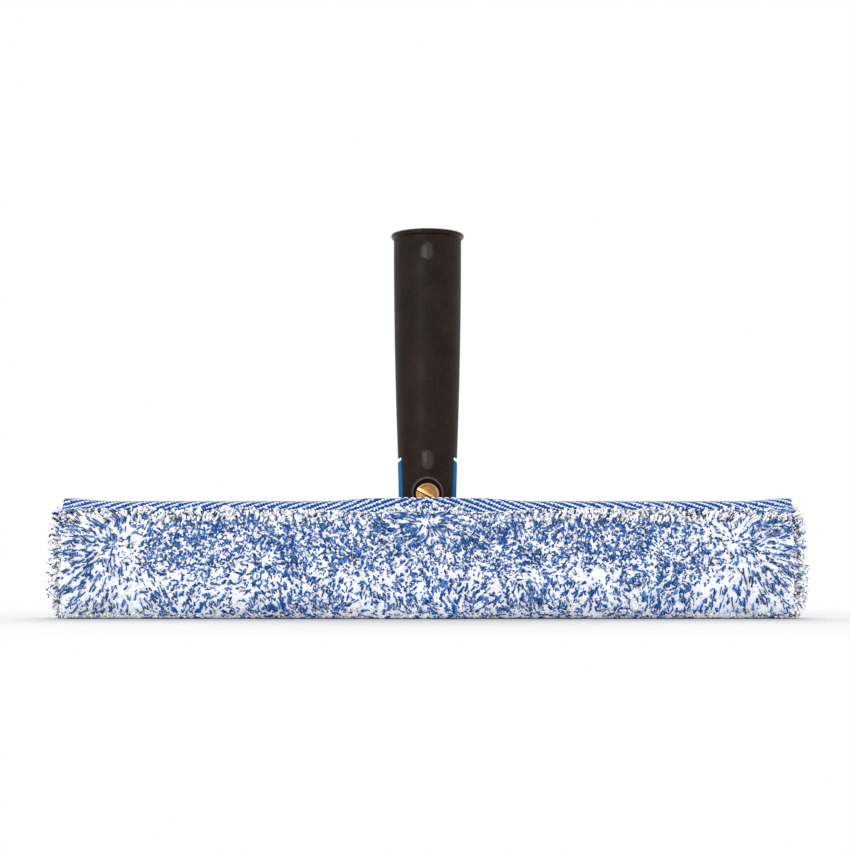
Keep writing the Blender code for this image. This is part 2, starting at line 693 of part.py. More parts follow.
def main():
    remove_everything()
    model = collection("window_washer")
    cutters = collection("construction_shapes")
    black = finish_of("black_polypropylene", (0.028, 0.024, 0.023), 0.5)
    blue = finish_of("blue_polypropylene", (0.02, 0.17, 0.50), 0.4)
    brass = finish_of("brass", (0.72, 0.46, 0.17), 0.3, 1.0)
    steel = finish_of("zinc_plated_steel", (0.55, 0.56, 0.58), 0.35, 1.0)
    washer_black = finish_of("black_nylon", (0.012, 0.012, 0.012), 0.45)
    nylon = finish_of("natural_nylon", (0.75, 0.74, 0.70), 0.5)
    pile = finish_of("microfibre_pile", (0.62, 0.68, 0.85), 0.95)
    woven = finish_of("woven_band", (0.35, 0.45, 0.75), 0.9)
    hook = finish_of("hook_and_loop", (0.70, 0.71, 0.74), 0.9)

    pivot = bpy.data.objects.new("swivel_axis", None)
    pivot.location = (0, 0, PIVOT_Z)
    model.objects.link(pivot)

    shade(make_t_bar(model, cutters), blue)
    half = TONGUE_THICK / 2 - FIT_GAP
    bush = ring("pivot_bush", BUSH_RADIUS - BUSH_WALL, BUSH_RADIUS, -half, half, SMALL_STEPS, model)
    bush.location = pivot.location
    shade(face_forward(bush), brass)

    moving = [(make_handle(model, cutters), black), (make_screw(model, cutters), brass)]
    moving.append((make_nut(model, cutters), brass))
    moving.append((make_spring_washer(model, cutters), steel))
    seat = SEAT + GAP
    inner = TONGUE_THICK / 2 + GAP
    outer = inner + DISC_THICK
    for name, radius, low, high, material in (
        ("head_washer", WASHER_RADIUS, seat, seat + WASHER_THICK, washer_black),
        ("friction_disc_front", DISC_RADIUS, inner, outer, nylon),
        ("friction_disc_rear", DISC_RADIUS, -outer, -inner, nylon),
    ):
        flat = ring(name, HOLE_RADIUS, radius, low, high, SMALL_STEPS, model)
        moving.append((face_forward(flat), material))
    for made, material in moving:
        shade(made, material)
        made.parent = pivot

    shade(make_pile(model), pile, SOFT_ANGLE)
    shade(make_end("sleeve_end_left", -1, model), pile, SOFT_ANGLE)
    shade(make_end("sleeve_end_right", 1, model), pile, SOFT_ANGLE)
    shade(make_band("band_front", band_front_line, model), woven, SOFT_ANGLE)
    shade(make_band("band_back", band_back_line, model), woven, SOFT_ANGLE)
    loop_low = BAND_BACK_Z + BAND_THICK / 2 + FIT_GAP
    hook_low = loop_low + TAPE_THICK + FIT_GAP
    for side, word in ((-1, "left"), (1, "right")):
        shade(make_tape(f"loop_tape_{word}", side, loop_low, model), hook)
        shade(make_tape(f"hook_tape_{word}", side, hook_low, model), hook)


main()
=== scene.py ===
"""The looks of a window washer: pile sleeve with striped bands, blue T-bar and black swivel handle.

Metres, +Z up, X along the sleeve. The front, where the screw's head shows, faces -Y.
"""

import json
import math

import bmesh
import bpy
import numpy as np
from mathutils import Matrix, Vector


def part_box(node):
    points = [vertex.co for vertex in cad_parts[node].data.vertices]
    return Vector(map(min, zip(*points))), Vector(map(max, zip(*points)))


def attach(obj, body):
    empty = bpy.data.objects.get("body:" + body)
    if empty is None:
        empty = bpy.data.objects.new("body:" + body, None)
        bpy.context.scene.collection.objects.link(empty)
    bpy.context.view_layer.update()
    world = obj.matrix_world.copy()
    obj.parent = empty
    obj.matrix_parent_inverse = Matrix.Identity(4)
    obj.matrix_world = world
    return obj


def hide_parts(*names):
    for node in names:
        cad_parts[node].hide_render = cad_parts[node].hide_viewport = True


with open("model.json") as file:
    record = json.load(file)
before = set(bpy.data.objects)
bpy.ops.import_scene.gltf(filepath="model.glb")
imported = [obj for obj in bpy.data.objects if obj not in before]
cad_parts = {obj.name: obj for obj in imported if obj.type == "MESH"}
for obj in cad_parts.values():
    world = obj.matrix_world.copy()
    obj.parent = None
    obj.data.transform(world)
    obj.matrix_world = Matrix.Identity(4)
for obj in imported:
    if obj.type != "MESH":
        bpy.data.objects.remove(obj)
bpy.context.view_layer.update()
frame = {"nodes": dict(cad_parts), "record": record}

bl_info = {
    "name": "Window Washer",
    "version": (1, 0, 0),
    "blender": (4, 5, 0),
    "location": "3D View > Sidebar > Washer",
    "description": "Builds a window washer's pile sleeve, bands, T-bar and swivel handle",
    "category": "Add Mesh",
}

SIDES = ((-1, "left"), (1, "right"))

# Bodies, joints and places that come from the frame
HEAD = "washer_head"
HANDLE = "swivel_handle"
SCREW = "tension_screw"
JOINTS = {joint["name"]: joint for joint in frame["record"]["behaviour"]["joints"]}
PIVOT_Z = JOINTS["handle_swivel"]["pos_m"][2]
HANDLE_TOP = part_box("handle")[1][2]
HANDLE_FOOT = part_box("handle")[0][2]
PILE_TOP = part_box("sleeve_pile")[1][2]
SCREW_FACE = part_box("swivel_screw")[0][1]
SCREW_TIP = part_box("swivel_screw")[1][1]
NUT_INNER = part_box("swivel_nut")[0][1]
NUT_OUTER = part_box("swivel_nut")[1][1]

# The sleeve's section, a squarish oval that stands flat on the ground
OVAL_HALF_DEPTH = 0.0200
OVAL_MIDDLE = 0.0270
OVAL_HALF_HEIGHT = 0.0282
OVAL_POWER = 3.2
OVAL_POWER_AT_THROAT = 5.0
THROAT_REACH = 0.032
BULGE = 0.04
BULGE_REACH = 0.040
GIRTH = 0.150
BODY_HALF_LENGTH = 0.1716

# The panels that close its ends
END_HALF_DEPTH = 0.0195
END_TOP = 0.0560
END_ROOT = 0.1733
END_MIDDLE = 0.48
END_TUCK = 0.0012
END_BULGE = 0.0018
END_SEAM_ASIDE = 0.0035
END_SEAM_ABOVE = 0.0030
END_PILE = 0.0062

# The pile's depth, lean and reach
PILE_SHORT = 0.0028
PILE_LONG = 0.0046
PILE_PACKED = 0.76
PILE_PARTS_FROM = (0.146, 0.034)
FORK_PARTS_FROM = 0.0463
LEAN_MOST = 1.35
LOWEST = 0.0003
ENDS_FROM = 0.120
WISP_REACH = 0.1798

# The tufts on the body, and those along the bands' feet
BLUE_LOOSE_MOST = 1.2
BLUE_PATCHY = 0.55
BLUE_UPRIGHT = 0.17
CUT_LEVEL = 0.86
BRIM_SHARE = 0.012
BRIM_FOOT = (0.0150, 0.0480)
BRIM_TOP = 0.0522

# For each kind of tuft, its thickness from foot to tip, its rows along a band's foot, its share at the ends
TUFTS = {"white": ((0.8, 1.0, 0.88), 22, 1.2), "blue": ((0.65, 1.0, 0.75), 13, 0.4)}

# The body's regions, by share of the girth from the front band to the back one
REGIONS = (("front", 0.0, 0.37), ("under", 0.37, 0.63), ("back", 0.63, 1.0))

# The cloths' flat sizes and thickness
CLOTH_THICK = 0.0007
TAPE_THICK = 0.0006

# The bands
BAND_HALF_LENGTH = 0.1722
BAND_THICK = 0.0010
BAND_FRONT_Z = 0.0550
BAND_BACK_Z = 0.05185
BAND_FRONT_EDGE = 0.0095
BAND_BACK_EDGE = -0.0085
BAND_PARTS_FROM = 0.050
BAND_PARTS_TO = 0.024
BAND_LIP_FOOT = 0.0167
BAND_LIP_TOP = 0.0561
BAND_LIP_BACK_LOWER = 0.0004
BAND_LIP_WIDTH = 0.0076
BAND_END_LIFT = 0.0014
SKIRT_FOOT = (0.0161, 0.0494)
STRIPE_STEP_ALONG = 0.00128
STRIPE_STEP_ACROSS = 0.00048
STRIPE_THREADS = 5
BLUE_THREADS = 3
RIB_HEIGHT = 0.00010
STITCH_PITCH = 0.0032
STITCH_LENGTH = 0.78
STITCH_RADIUS = 0.00024

# The handle and its fasteners, with heights above the pivot
RIM_RADIUS = 0.0177
RIM_HEIGHT = 0.0027
TUBE_TOP_RADIUS = 0.0163
TUBE_DROP = 0.00208
TUBE_DROP_LENGTH = 0.1057
TUBE_DROP_POWER = 2.0
SOCKET_MOUTH_RADIUS = 0.0132
SOCKET_FLOOR_RADIUS = 0.0110
SOCKET_FLOOR = 0.0267
FORK_SLOT_WIDTH = 0.0130
FORK_SLOT_RADIUS = 0.0226
CHEEK_END_RADIUS = 0.0120
COUNTERBORE_RADIUS = 0.0068
COUNTERBORE_RISE = 0.0007
SEAT = 0.0090
HOLE_RADIUS = 0.0034
NUT_ACROSS_FLATS = 0.0100
SCREW_HEAD_RADIUS = 0.0055
SCREW_HEAD_HEIGHT = 0.0027
SCREW_SHANK_RADIUS = 0.0030
SCREW_SLOT_WIDTH = 0.0019
SCREW_SLOT_DEPTH = 0.0013
SCREW_SLOT_ANGLE = math.radians(29)
PIPS = ((0.0164, 0.0036, 0.0046, 0.0007), (0.1159, 0.0038, 0.0043, 0.0006))
PIP_ROUNDING = 0.12
SINK_DEPTH = 0.0001
SINK_REACH = 0.0065
POCKET_PLAY = 0.0003
NUT_CHAMFER = 0.0005
NUT_PLAY = 0.0002
SINK_MARKS = (0.0386, 0.0595, 0.0829, 0.1064)

# The camera stands level with the middle of the sleeve and looks slightly up
CAMERA_DISTANCE = 0.870
CAMERA_HEIGHT = 0.028
CAMERA_AIM_HEIGHT = 0.0925
CAMERA_SIDE = -0.0012
CAMERA_LENS = 76.7
SENSOR_WIDTH = 36

# Each lamp's name, place, aim, size and power, and whether glossy surfaces show it
LAMPS = (
    ("Key", (-0.72, -1.5, 0.18), (0, 0, 0.06), 0.8, 9, True),
    ("Fill", (0.5, -1.9, 0.12), (0, 0, 0.03), 1.0, 5, False),
    ("Left", (-1.5, -0.5, 0.4), (-0.15, 0, 0.03), 0.8, 6, False),
    ("Right", (1.5, -0.5, 0.4), (0.15, 0, 0.03), 0.8, 6, False),
    ("Top", (0, 1.1, 1.7), (0, 0, 0.02), 1.8, 26, True),
)


def linear(code):
    """An sRGB hex value such as F4F0F5 as linear red, green and blue."""
    parts = [int(code[i : i + 2], 16) / 255 for i in (0, 2, 4)]
    return tuple(c / 12.92 if c <= 0.04045 else ((c + 0.055) / 1.055) ** 2.4 for c in parts)


def rgba(colour):
    """A hex value or a linear colour as the four values of a colour socket."""
    return (*(linear(colour) if isinstance(colour, str) else colour), 1)


def scaled(colour, share):
    """A linear colour, darker with a share under 1 and lighter over it."""
    return tuple(c * share for c in colour)


def ease(t):
    """Smooth step: 3t² - 2t³ between 0 and 1, flat outside."""
    t = np.clip(t, 0.0, 1.0)
    return t * t * (3 - 2 * t)


def bell(t):
    """Bell curve: e to the power -t², which is 1 in the middle."""
    return np.exp(-(t**2))


def mixed(a, b, share):
    """Two colours mixed, with a share of the second."""
    return tuple(p * (1 - share) + q * share for p, q in zip(a, b))


def unit(v):
    return v / np.maximum(np.linalg.norm(v, axis=-1, keepdims=True), 1e-12)


def drift(u, v, size, seed):
    """A smooth random field from -1 to 1: random values on a square lattice, blended by smooth steps."""
    table = np.random.default_rng(seed).uniform(-1, 1, (128, 128))
    p = u / size + 31.7
    q = v / size + 47.3
    i = np.floor(p).astype(int)
    j = np.floor(q).astype(int)
    a = ease(p - i)
    b = ease(q - j)
    low = table[i % 128, j % 128] * (1 - a) + table[(i + 1) % 128, j % 128] * a
    high = table[i % 128, (j + 1) % 128] * (1 - a) + table[(i + 1) % 128, (j + 1) % 128] * a
    return low * (1 - b) + high * b


def spread(count, seed):
    """Even points in the unit square: both coordinates step by powers of the plastic number."""
    steps = np.arange(count) + 0.5
    ratio = 1.32471795724
    shift = np.random.default_rng(seed).uniform(0, 1, 2)
    return (shift[0] + steps / ratio) % 1, (shift[1] + steps / ratio**2) % 1


def new_object(name, data):
    made = bpy.data.objects.new(name, data)
    bpy.context.scene.collection.objects.link(made)
    return made


def points_of(mesh):
    """A mesh's points as three arrays, one for each axis."""
    points = np.empty(len(mesh.vertices) * 3, np.float32)
    mesh.vertices.foreach_get("co", points)
    return points.reshape(-1, 3).T


def mark(mesh, name, values):
    """Gives each point of a mesh a value that its material reads."""
    mesh.attributes.new(name, "FLOAT", "POINT").data.foreach_set("value", np.asarray(values, np.float32))


def merge(mesh, distance=1e-7):
    """Merges the points of seams and poles and turns the faces outwards."""
    body = bmesh.new()
    body.from_mesh(mesh)
    bmesh.ops.remove_doubles(body, verts=body.verts, dist=distance)
    bmesh.ops.dissolve_degenerate(body, edges=body.edges, dist=distance)
    bmesh.ops.recalc_face_normals(body, faces=body.faces)
    body.to_mesh(mesh)
    body.free()


def piece(name, points, faces_by_size, uv=None, tone=None, merged=False):
    """An object from an array of points and arrays of faces, one array for each number of corners."""
    corners = np.concatenate([f.ravel() for f in faces_by_size])
    sizes = np.concatenate([np.full(len(f), f.shape[1]) for f in faces_by_size])
    places = np.asarray(points, np.float32).reshape(-1, 3)
    mesh = bpy.data.meshes.new(name)
    mesh.vertices.add(len(places))
    mesh.vertices.foreach_set("co", places.ravel())
    mesh.loops.add(len(corners))
    mesh.loops.foreach_set("vertex_index", corners.astype(np.int32))
    mesh.polygons.add(len(sizes))
    mesh.polygons.foreach_set("loop_start", np.concatenate([[0], np.cumsum(sizes)[:-1]]).astype(np.int32))
    mesh.update(calc_edges=True)
    if uv is not None:
        layer = mesh.uv_layers.new(name="Cloth")
        layer.data.foreach_set("uv", np.asarray(uv, np.float32).reshape(-1, 2)[corners].ravel())
    if tone is not None:
        mark(mesh, "tone", tone)
    if merged:
        merge(mesh)
    mesh.shade_smooth()
    return new_object(name, mesh)


def grid_faces(rows, columns, around=False):
    """The four-cornered faces of a grid of points, joined along its second side if it runs around."""
    i, j = np.meshgrid(np.arange(rows - 1), np.arange(columns if around else columns - 1), indexing="ij")
    k = (j + 1) % columns
    corners = (i * columns + j, i * columns + k, (i + 1) * columns + k, (i + 1) * columns + j)
    return np.stack(corners, -1).reshape(-1, 4)


def turned(name, radius, height, count=144, relief=None):
    """A solid of revolution about Z: point (r cos a, r sin a, z) for each profile point and each turn a.

    relief gives what is added to the radius at each turn and height. The profile starts and ends on the axis.
    """
    turn = np.linspace(0, 2 * math.pi, count, endpoint=False)
    r = np.repeat(np.asarray(radius)[:, None], count, 1)
    z = np.repeat(np.asarray(height)[:, None], count, 1)
    if relief is not None:
        r = r + relief(turn[None, :], z, r)
    points = np.stack([r * np.cos(turn), r * np.sin(turn), z], -1)
    return piece(name, points, [grid_faces(len(radius), count, around=True)], merged=True)


def prism(name, outline, front, back):
    """A closed outline in X and Z, solid from y = front to y = back."""
    flat = np.asarray(outline)
    count = len(flat)
    near = np.stack([flat[:, 0], np.full(count, front), flat[:, 1]], -1)
    far = near + np.array([0, back - front, 0])
    index = np.arange(count)[None, :]
    ends = np.concatenate([index, index[:, ::-1] + count])
    return piece(name, np.concatenate([near, far]), [grid_faces(2, count, around=True), ends], merged=True)


def arc(x, z, radius, start, end, count=48):
    turns = np.radians(np.linspace(start, end, count))
    return np.stack([x + radius * np.cos(turns), z + radius * np.sin(turns)], -1)


def apply_modifiers(made):
    bpy.context.view_layer.update()
    mesh = bpy.data.meshes.new_from_object(made.evaluated_get(bpy.context.evaluated_depsgraph_get()))
    made.modifiers.clear()
    made.data = mesh


def cut(made, tools):
    """Takes each tool out of the piece, and removes the tools."""
    for tool in tools:
        step = made.modifiers.new("Cut", "BOOLEAN")
        step.operation = "DIFFERENCE"
        step.object = tool
    apply_modifiers(made)
    for tool in tools:
        bpy.data.objects.remove(tool)


def shade(made, angle):
    """Shades a piece smooth, but for edges between faces that meet at more than an angle."""
    made.data.shade_smooth()
    made.data.set_sharp_from_angle(angle=math.radians(angle))


def soften(made, width, segments=2, angle=32):
    """Rounds the edges between faces that meet at more than an angle, and shades the rest smooth."""
    step = made.modifiers.new("Soft edges", "BEVEL")
    step.width = width
    step.segments = segments
    step.limit_method = "ANGLE"
    step.angle_limit = math.radians(angle)
    apply_modifiers(made)
    shade(made, angle)


def thicken(made, thickness, offset=0):
    """Gives a cloth's surface its thickness, half on each side, or all of it behind with an offset of -1."""
    step = made.modifiers.new("Cloth", "SOLIDIFY")
    step.thickness = thickness
    step.offset = offset
    apply_modifiers(made)
    return made


def smooth_copy(node, name, angle=30):
    """A merged and smoothly shaded copy of a CAD node, in its place."""
    made = new_object(name, frame["nodes"][node].data.copy())
    made.data.transform(frame["nodes"][node].matrix_world)
    body = bmesh.new()
    body.from_mesh(made.data)
    bmesh.ops.remove_doubles(body, verts=body.verts, dist=1e-6)
    body.to_mesh(made.data)
    body.free()
    shade(made, angle)
    return made


def feed(tree, node, inputs):
    """Gives each named or numbered socket of a node a value or another node's output."""
    for socket, value in inputs.items():
        if isinstance(value, bpy.types.NodeSocket):
            tree.links.new(value, node.inputs[socket])
        else:
            node.inputs[socket].default_value = value


def add(tree, kind, inputs=None, output=0, stops=(), **settings):
    """Adds a shader node with its settings and links, and returns one of its outputs.

    stops gives a colour ramp its positions and colours.
    """
    made = tree.nodes.new("ShaderNode" + kind)
    for name, value in settings.items():
        setattr(made, name, value)
    feed(tree, made, inputs or {})
    for number, (position, colour) in enumerate(stops):
        elements = made.color_ramp.elements
        element = elements[number] if number < 2 else elements.new(position)
        element.position = position
        element.color = rgba(colour)
    return made.outputs[output] if made.outputs else None


def new_finish(name):
    """A material, with its node tree and its Principled shader."""
    made = bpy.data.materials.new(name)
    made.use_nodes = True
    return made, made.node_tree, made.node_tree.nodes["Principled BSDF"]


def moulded_polypropylene(name, dark, light, highlight_colour, roughness, specular, grain, depth):
    """Injection-moulded polypropylene. The mould's spark-eroded grain mottles it and breaks up its gloss.

    Where the mould is polished, which the attribute of that name says, it is smoother. A paler colour is
    painted on as a highlight where the attribute for it says so.
    """
    made, tree, shader = new_finish(name)
    spot = add(tree, "TexCoord", output="Object")
    cloud = add(tree, "TexNoise", {"Vector": spot, "Scale": 1 / 0.012, "Detail": 2.0})
    fine = add(tree, "TexNoise", {"Vector": spot, "Scale": 1 / grain, "Detail": 3.0})
    both = add(tree, "Math", {0: cloud, 1: fine}, operation="ADD")
    mottle = add(tree, "MapRange", {"Value": both, "From Min": 0.75, "From Max": 1.25})
    clean = add(tree, "ValToRGB", {"Fac": mottle}, stops=((0.0, dark), (1.0, light)))
    # Painted highlight: the attribute read here says where the paler colour stands in for a highlight.
    worn = add(tree, "Attribute", output="Fac", attribute_name="worn")
    base = add(tree, "Mix", {"Factor": worn, "A": clean, "B": rgba(highlight_colour)}, "Result", data_type="RGBA")
    rough = add(tree, "MapRange", {"Value": fine, "To Min": roughness - 0.08, "To Max": roughness + 0.08})
    polish = add(tree, "Attribute", output="Fac", attribute_name="polish")
    less = add(tree, "Math", {0: polish, 1: -0.34}, operation="MULTIPLY")
    polished = add(tree, "Math", {0: rough, 1: less}, operation="ADD")
    bump = add(tree, "Bump", {"Height": fine, "Strength": 0.5, "Distance": depth})
    feed(tree, shader, {"Base Color": base, "Roughness": polished, "Normal": bump})
    feed(tree, shader, {"IOR": 1.49, "Specular IOR Level": specular})
    return made


def turned_brass():
    """Brass turned on a lathe. The tool leaves rings round the axis, 0.24 mm apart, and handling dulls it.

    It is rosier in the middle and ochre in a darker ring at the groove, and its rim is lighter as a painted
    highlight on the rounded edge. The slot's attribute is 0.5 in its upper half, painted bright as a
    highlight, and 1 in its lower half, painted dark as a shadow.
    """
    made, tree, shader = new_finish("Turned brass")
    spot = add(tree, "TexCoord", output="Object")
    centred = add(tree, "Mapping", {"Vector": spot, "Location": (0, 0, -PIVOT_Z), "Scale": (1, 0, 1)})
    far = add(tree, "VectorMath", {"Vector": centred}, "Value", operation="LENGTH")
    wave = add(tree, "Math", {0: far, 1: 2 * math.pi / 0.00024}, operation="MULTIPLY")
    rings = add(tree, "Math", {0: wave}, operation="SINE")
    cloud = add(tree, "TexNoise", {"Vector": spot, "Scale": 1 / 0.0024, "Detail": 4.0})
    clouds = ((0.3, "7C532E"), (0.5, "A87C4E"), (0.72, "C49E6C"))
    clouded = add(tree, "ValToRGB", {"Fac": cloud}, stops=clouds)
    share = add(tree, "Math", {0: far, 1: 1 / SCREW_HEAD_RADIUS}, operation="MULTIPLY")
    # Painted light in rings: the gold rim is a painted highlight on the rounded edge, the groove's ochre ring
    # is darker, the middle rosier.
    rosy, ochre, gold = "A87450", "94682E", "CDA670"
    painted_ring_stops = ((0.0, rosy), (0.64, rosy), (0.70, ochre), (0.80, ochre), (0.88, gold), (1.0, gold))
    painted_rings = add(tree, "ValToRGB", {"Fac": share}, stops=painted_ring_stops)
    metal = add(tree, "Mix", {"Factor": 0.6, "A": clouded, "B": painted_rings}, "Result", data_type="RGBA")
    # Painted light in the slot: its upper half is painted bright as a highlight, its lower half dark as a
    # shadow.
    soiled = add(tree, "Attribute", output="Fac", attribute_name="soiled")
    slot_highlight = add(tree, "ValToRGB", {"Fac": soiled}, stops=((0.2, "000000"), (0.3, "FFFFFF")))
    slot_shade = add(tree, "ValToRGB", {"Fac": soiled}, stops=((0.76, "000000"), (0.84, "FFFFFF")))
    slot_highlighted = add(tree, "Mix", {"Factor": slot_highlight, "A": metal, "B": rgba("DCBC80")}, "Result", data_type="RGBA")
    base = add(tree, "Mix", {"Factor": slot_shade, "A": slot_highlighted, "B": rgba("3A2210")}, "Result", data_type="RGBA")
    rough = add(tree, "MapRange", {"Value": cloud, "To Min": 0.28, "To Max": 0.46})
    bump = add(tree, "Bump", {"Height": rings, "Strength": 0.35, "Distance": 0.00002})
    feed(tree, shader, {"Base Color": base, "Roughness": rough, "Normal": bump, "Metallic": 1.0})
    return made


def plated_steel():
    """Zinc-plated steel: pale grey, with a slight cloudiness in the plating."""
    made, tree, shader = new_finish("Zinc-plated steel")
    spot = add(tree, "TexCoord", output="Object")
    cloud = add(tree, "TexNoise", {"Vector": spot, "Scale": 1 / 0.002, "Detail": 3.0})
    base = add(tree, "ValToRGB", {"Fac": cloud}, stops=((0.3, "9FA2A6"), (0.7, "C9CBCD")))
    rough = add(tree, "MapRange", {"Value": cloud, "To Min": 0.28, "To Max": 0.45})
    feed(tree, shader, {"Base Color": base, "Roughness": rough, "Metallic": 1.0})
    return made


def cut_pile_yarn(name, plain, pale, share, sheen, scatter):
    """Cut microfibre yarn: filaments run along it, its cut end frays, and light passes through white yarn.

    plain and pale give its colours from the foot at 0, over the frayed rim at CUT_LEVEL, to the middle of
    the cut end at 1. A share of the tufts is pale, and the rest lie up to a third of the way from plain.
    """
    made, tree, shader = new_finish(name)
    tone = add(tree, "Attribute", output="Fac", attribute_name="tone")
    yarn = add(tree, "SeparateXYZ", {"Vector": add(tree, "UVMap", uv_map="Cloth")}).node.outputs
    paleness = ((0.0, (0, 0, 0)), (0.95 - share, (0.3, 0.3, 0.3)), (1.0 - share, (1, 1, 1)))
    colours = {
        "Factor": add(tree, "ValToRGB", {"Fac": tone}, stops=paleness),
        "A": add(tree, "ValToRGB", {"Fac": yarn["Y"]}, stops=plain),
        "B": add(tree, "ValToRGB", {"Fac": yarn["Y"]}, stops=pale),
    }
    base = add(tree, "Mix", colours, "Result", data_type="RGBA")
    wave = add(tree, "Math", {0: yarn["X"], 1: 2 * math.pi * 9}, operation="MULTIPLY")
    filaments = add(tree, "Math", {0: wave}, operation="SINE")
    bump = add(tree, "Bump", {"Height": filaments, "Strength": 0.3, "Distance": 0.00005})
    feed(tree, shader, {"Base Color": base, "Normal": bump, "Roughness": 0.95, "Specular IOR Level": 0.1})
    feed(tree, shader, {"Sheen Weight": sheen, "Subsurface Weight": scatter})
    feed(tree, shader, {"Subsurface Radius": (1.0, 1.0, 1.0), "Subsurface Scale": 0.0006})
    return made


def twill_band():
    """Woven twill: warp threads float over the weft in steps, which draws slanted blue stripes on white.

    A thread is blue where (column + row) modulo 5 is under 3, give or take a slip that makes the stripes
    ragged. Each float is rounded by the product of two sines, and the gaps between floats show the other
    colour's thread below. The real threads are half as wide, and are drawn as coarse as they need to show.
    """
    made, tree, shader = new_finish("Woven twill band")
    cloth = add(tree, "UVMap", uv_map="Cloth")
    mirrored = add(tree, "VectorMath", {0: cloth}, operation="ABSOLUTE")
    steps = (STRIPE_STEP_ALONG, STRIPE_STEP_ACROSS, 1.0)
    threads = add(tree, "VectorMath", {0: mirrored, 1: steps}, operation="DIVIDE")
    cell = add(tree, "VectorMath", {0: threads}, operation="FLOOR")
    step = add(tree, "VectorMath", {0: cell, 1: (1, 1, 0)}, "Value", operation="DOT_PRODUCT")
    order = add(tree, "Math", {0: step, 1: float(STRIPE_THREADS)}, operation="FLOORED_MODULO")
    uneven = add(tree, "TexNoise", {"Vector": cloth, "Scale": 1 / 0.0011, "Detail": 1.0})
    slip = add(tree, "Math", {0: uneven, 1: 0.5}, operation="SUBTRACT")
    slipped = add(tree, "Math", {0: slip, 1: 6.0, 2: order}, operation="MULTIPLY_ADD")
    blue = add(tree, "Math", {0: slipped, 1: BLUE_THREADS - 0.5}, operation="LESS_THAN")
    within = add(tree, "VectorMath", {0: threads}, operation="FRACTION")
    half_turns = add(tree, "VectorMath", {0: within, 1: (math.pi, math.pi, 0)}, operation="MULTIPLY")
    sines = add(tree, "VectorMath", {0: half_turns}, operation="SINE")
    split = add(tree, "SeparateXYZ", {"Vector": sines}).node.outputs
    product = add(tree, "Math", {0: split["X"], 1: split["Y"]}, operation="MULTIPLY")
    floats = add(tree, "Math", {0: product, 1: 0.5}, operation="POWER")
    whites = ((0.15, "8FA8D2"), (0.6, "DDE3F2"), (1.0, "EEF0F7"))
    blues = ((0.05, "5583C2"), (0.3, "15468E"), (1.0, "0D3474"))
    white, dyed = (add(tree, "ValToRGB", {"Fac": floats}, stops=stops) for stops in (whites, blues))
    base = add(tree, "Mix", {"Factor": blue, "A": white, "B": dyed}, "Result", data_type="RGBA")
    bump = add(tree, "Bump", {"Height": floats, "Strength": 0.8, "Distance": 0.0002})
    feed(tree, shader, {"Base Color": base, "Normal": bump, "Roughness": 0.9, "Specular IOR Level": 0.05})
    return made


def knitted_cloth(name, colour, pitch):
    """Knitted polyester: small loops in rows, seen as a fine even pebbling, with painted shade between the
    loops.
    """
    made, tree, shader = new_finish(name)
    spot = add(tree, "TexCoord", output="Object")
    loops = add(tree, "TexVoronoi", {"Vector": spot, "Scale": 1 / pitch}, "Distance")
    # Painted shade: the colour darkens towards the edges of each loop, where the bump sinks.
    base = add(tree, "ValToRGB", {"Fac": loops}, stops=((0.0, colour), (0.9, scaled(linear(colour), 0.88))))
    bump = add(tree, "Bump", {"Height": loops, "Strength": 0.6, "Distance": 0.0002}, invert=True)
    feed(tree, shader, {"Base Color": base, "Normal": bump, "Roughness": 0.95})
    feed(tree, shader, {"Specular IOR Level": 0.1, "Sheen Weight": 0.1})
    return made


def nylon(name, colour, roughness):
    """Moulded nylon washer stock: even, with a faint haze in its gloss."""
    made, tree, shader = new_finish(name)
    spot = add(tree, "TexCoord", output="Object")
    haze = add(tree, "TexNoise", {"Vector": spot, "Scale": 1 / 0.0015, "Detail": 2.0})
    base = add(tree, "ValToRGB", {"Fac": haze}, stops=((0.3, scaled(linear(colour), 0.85)), (0.7, colour)))
    rough = add(tree, "MapRange", {"Value": haze, "To Min": roughness - 0.08, "To Max": roughness + 0.08})
    feed(tree, shader, {"Base Color": base, "Roughness": rough, "IOR": 1.53, "Specular IOR Level": 0.4})
    return made


def squarish(turn, power):
    """The unit oval |y|^p + |z|^p = 1 as Y and Z, for turns from its top."""
    sine = np.sin(turn)
    cosine = np.cos(turn)
    y = np.sign(sine) * np.abs(sine) ** (2 / power)
    return y, np.sign(cosine) * np.abs(cosine) ** (2 / power)


def oval_table(power, count=600):
    """The section's points at even distances from its front top edge, under the bar, to its back top edge.

    The oval is |y / half depth|^p + |(z - middle) / half height|^p = 1, cut flat at the top and the ground.
    """
    cut_top = math.asin((1 - abs((PILE_TOP - OVAL_MIDDLE) / OVAL_HALF_HEIGHT) ** power) ** 0.5)
    turn = np.linspace(cut_top, 2 * math.pi - cut_top, 6000)
    y, z = squarish(turn, power)
    y = -OVAL_HALF_DEPTH * y
    z = np.maximum(OVAL_MIDDLE + OVAL_HALF_HEIGHT * z, 0.0)
    length = np.concatenate([[0], np.cumsum(np.hypot(np.diff(y), np.diff(z)))])
    even = np.linspace(0, length[-1], count)
    return np.interp(even, length, y), np.interp(even, length, z), length[-1]


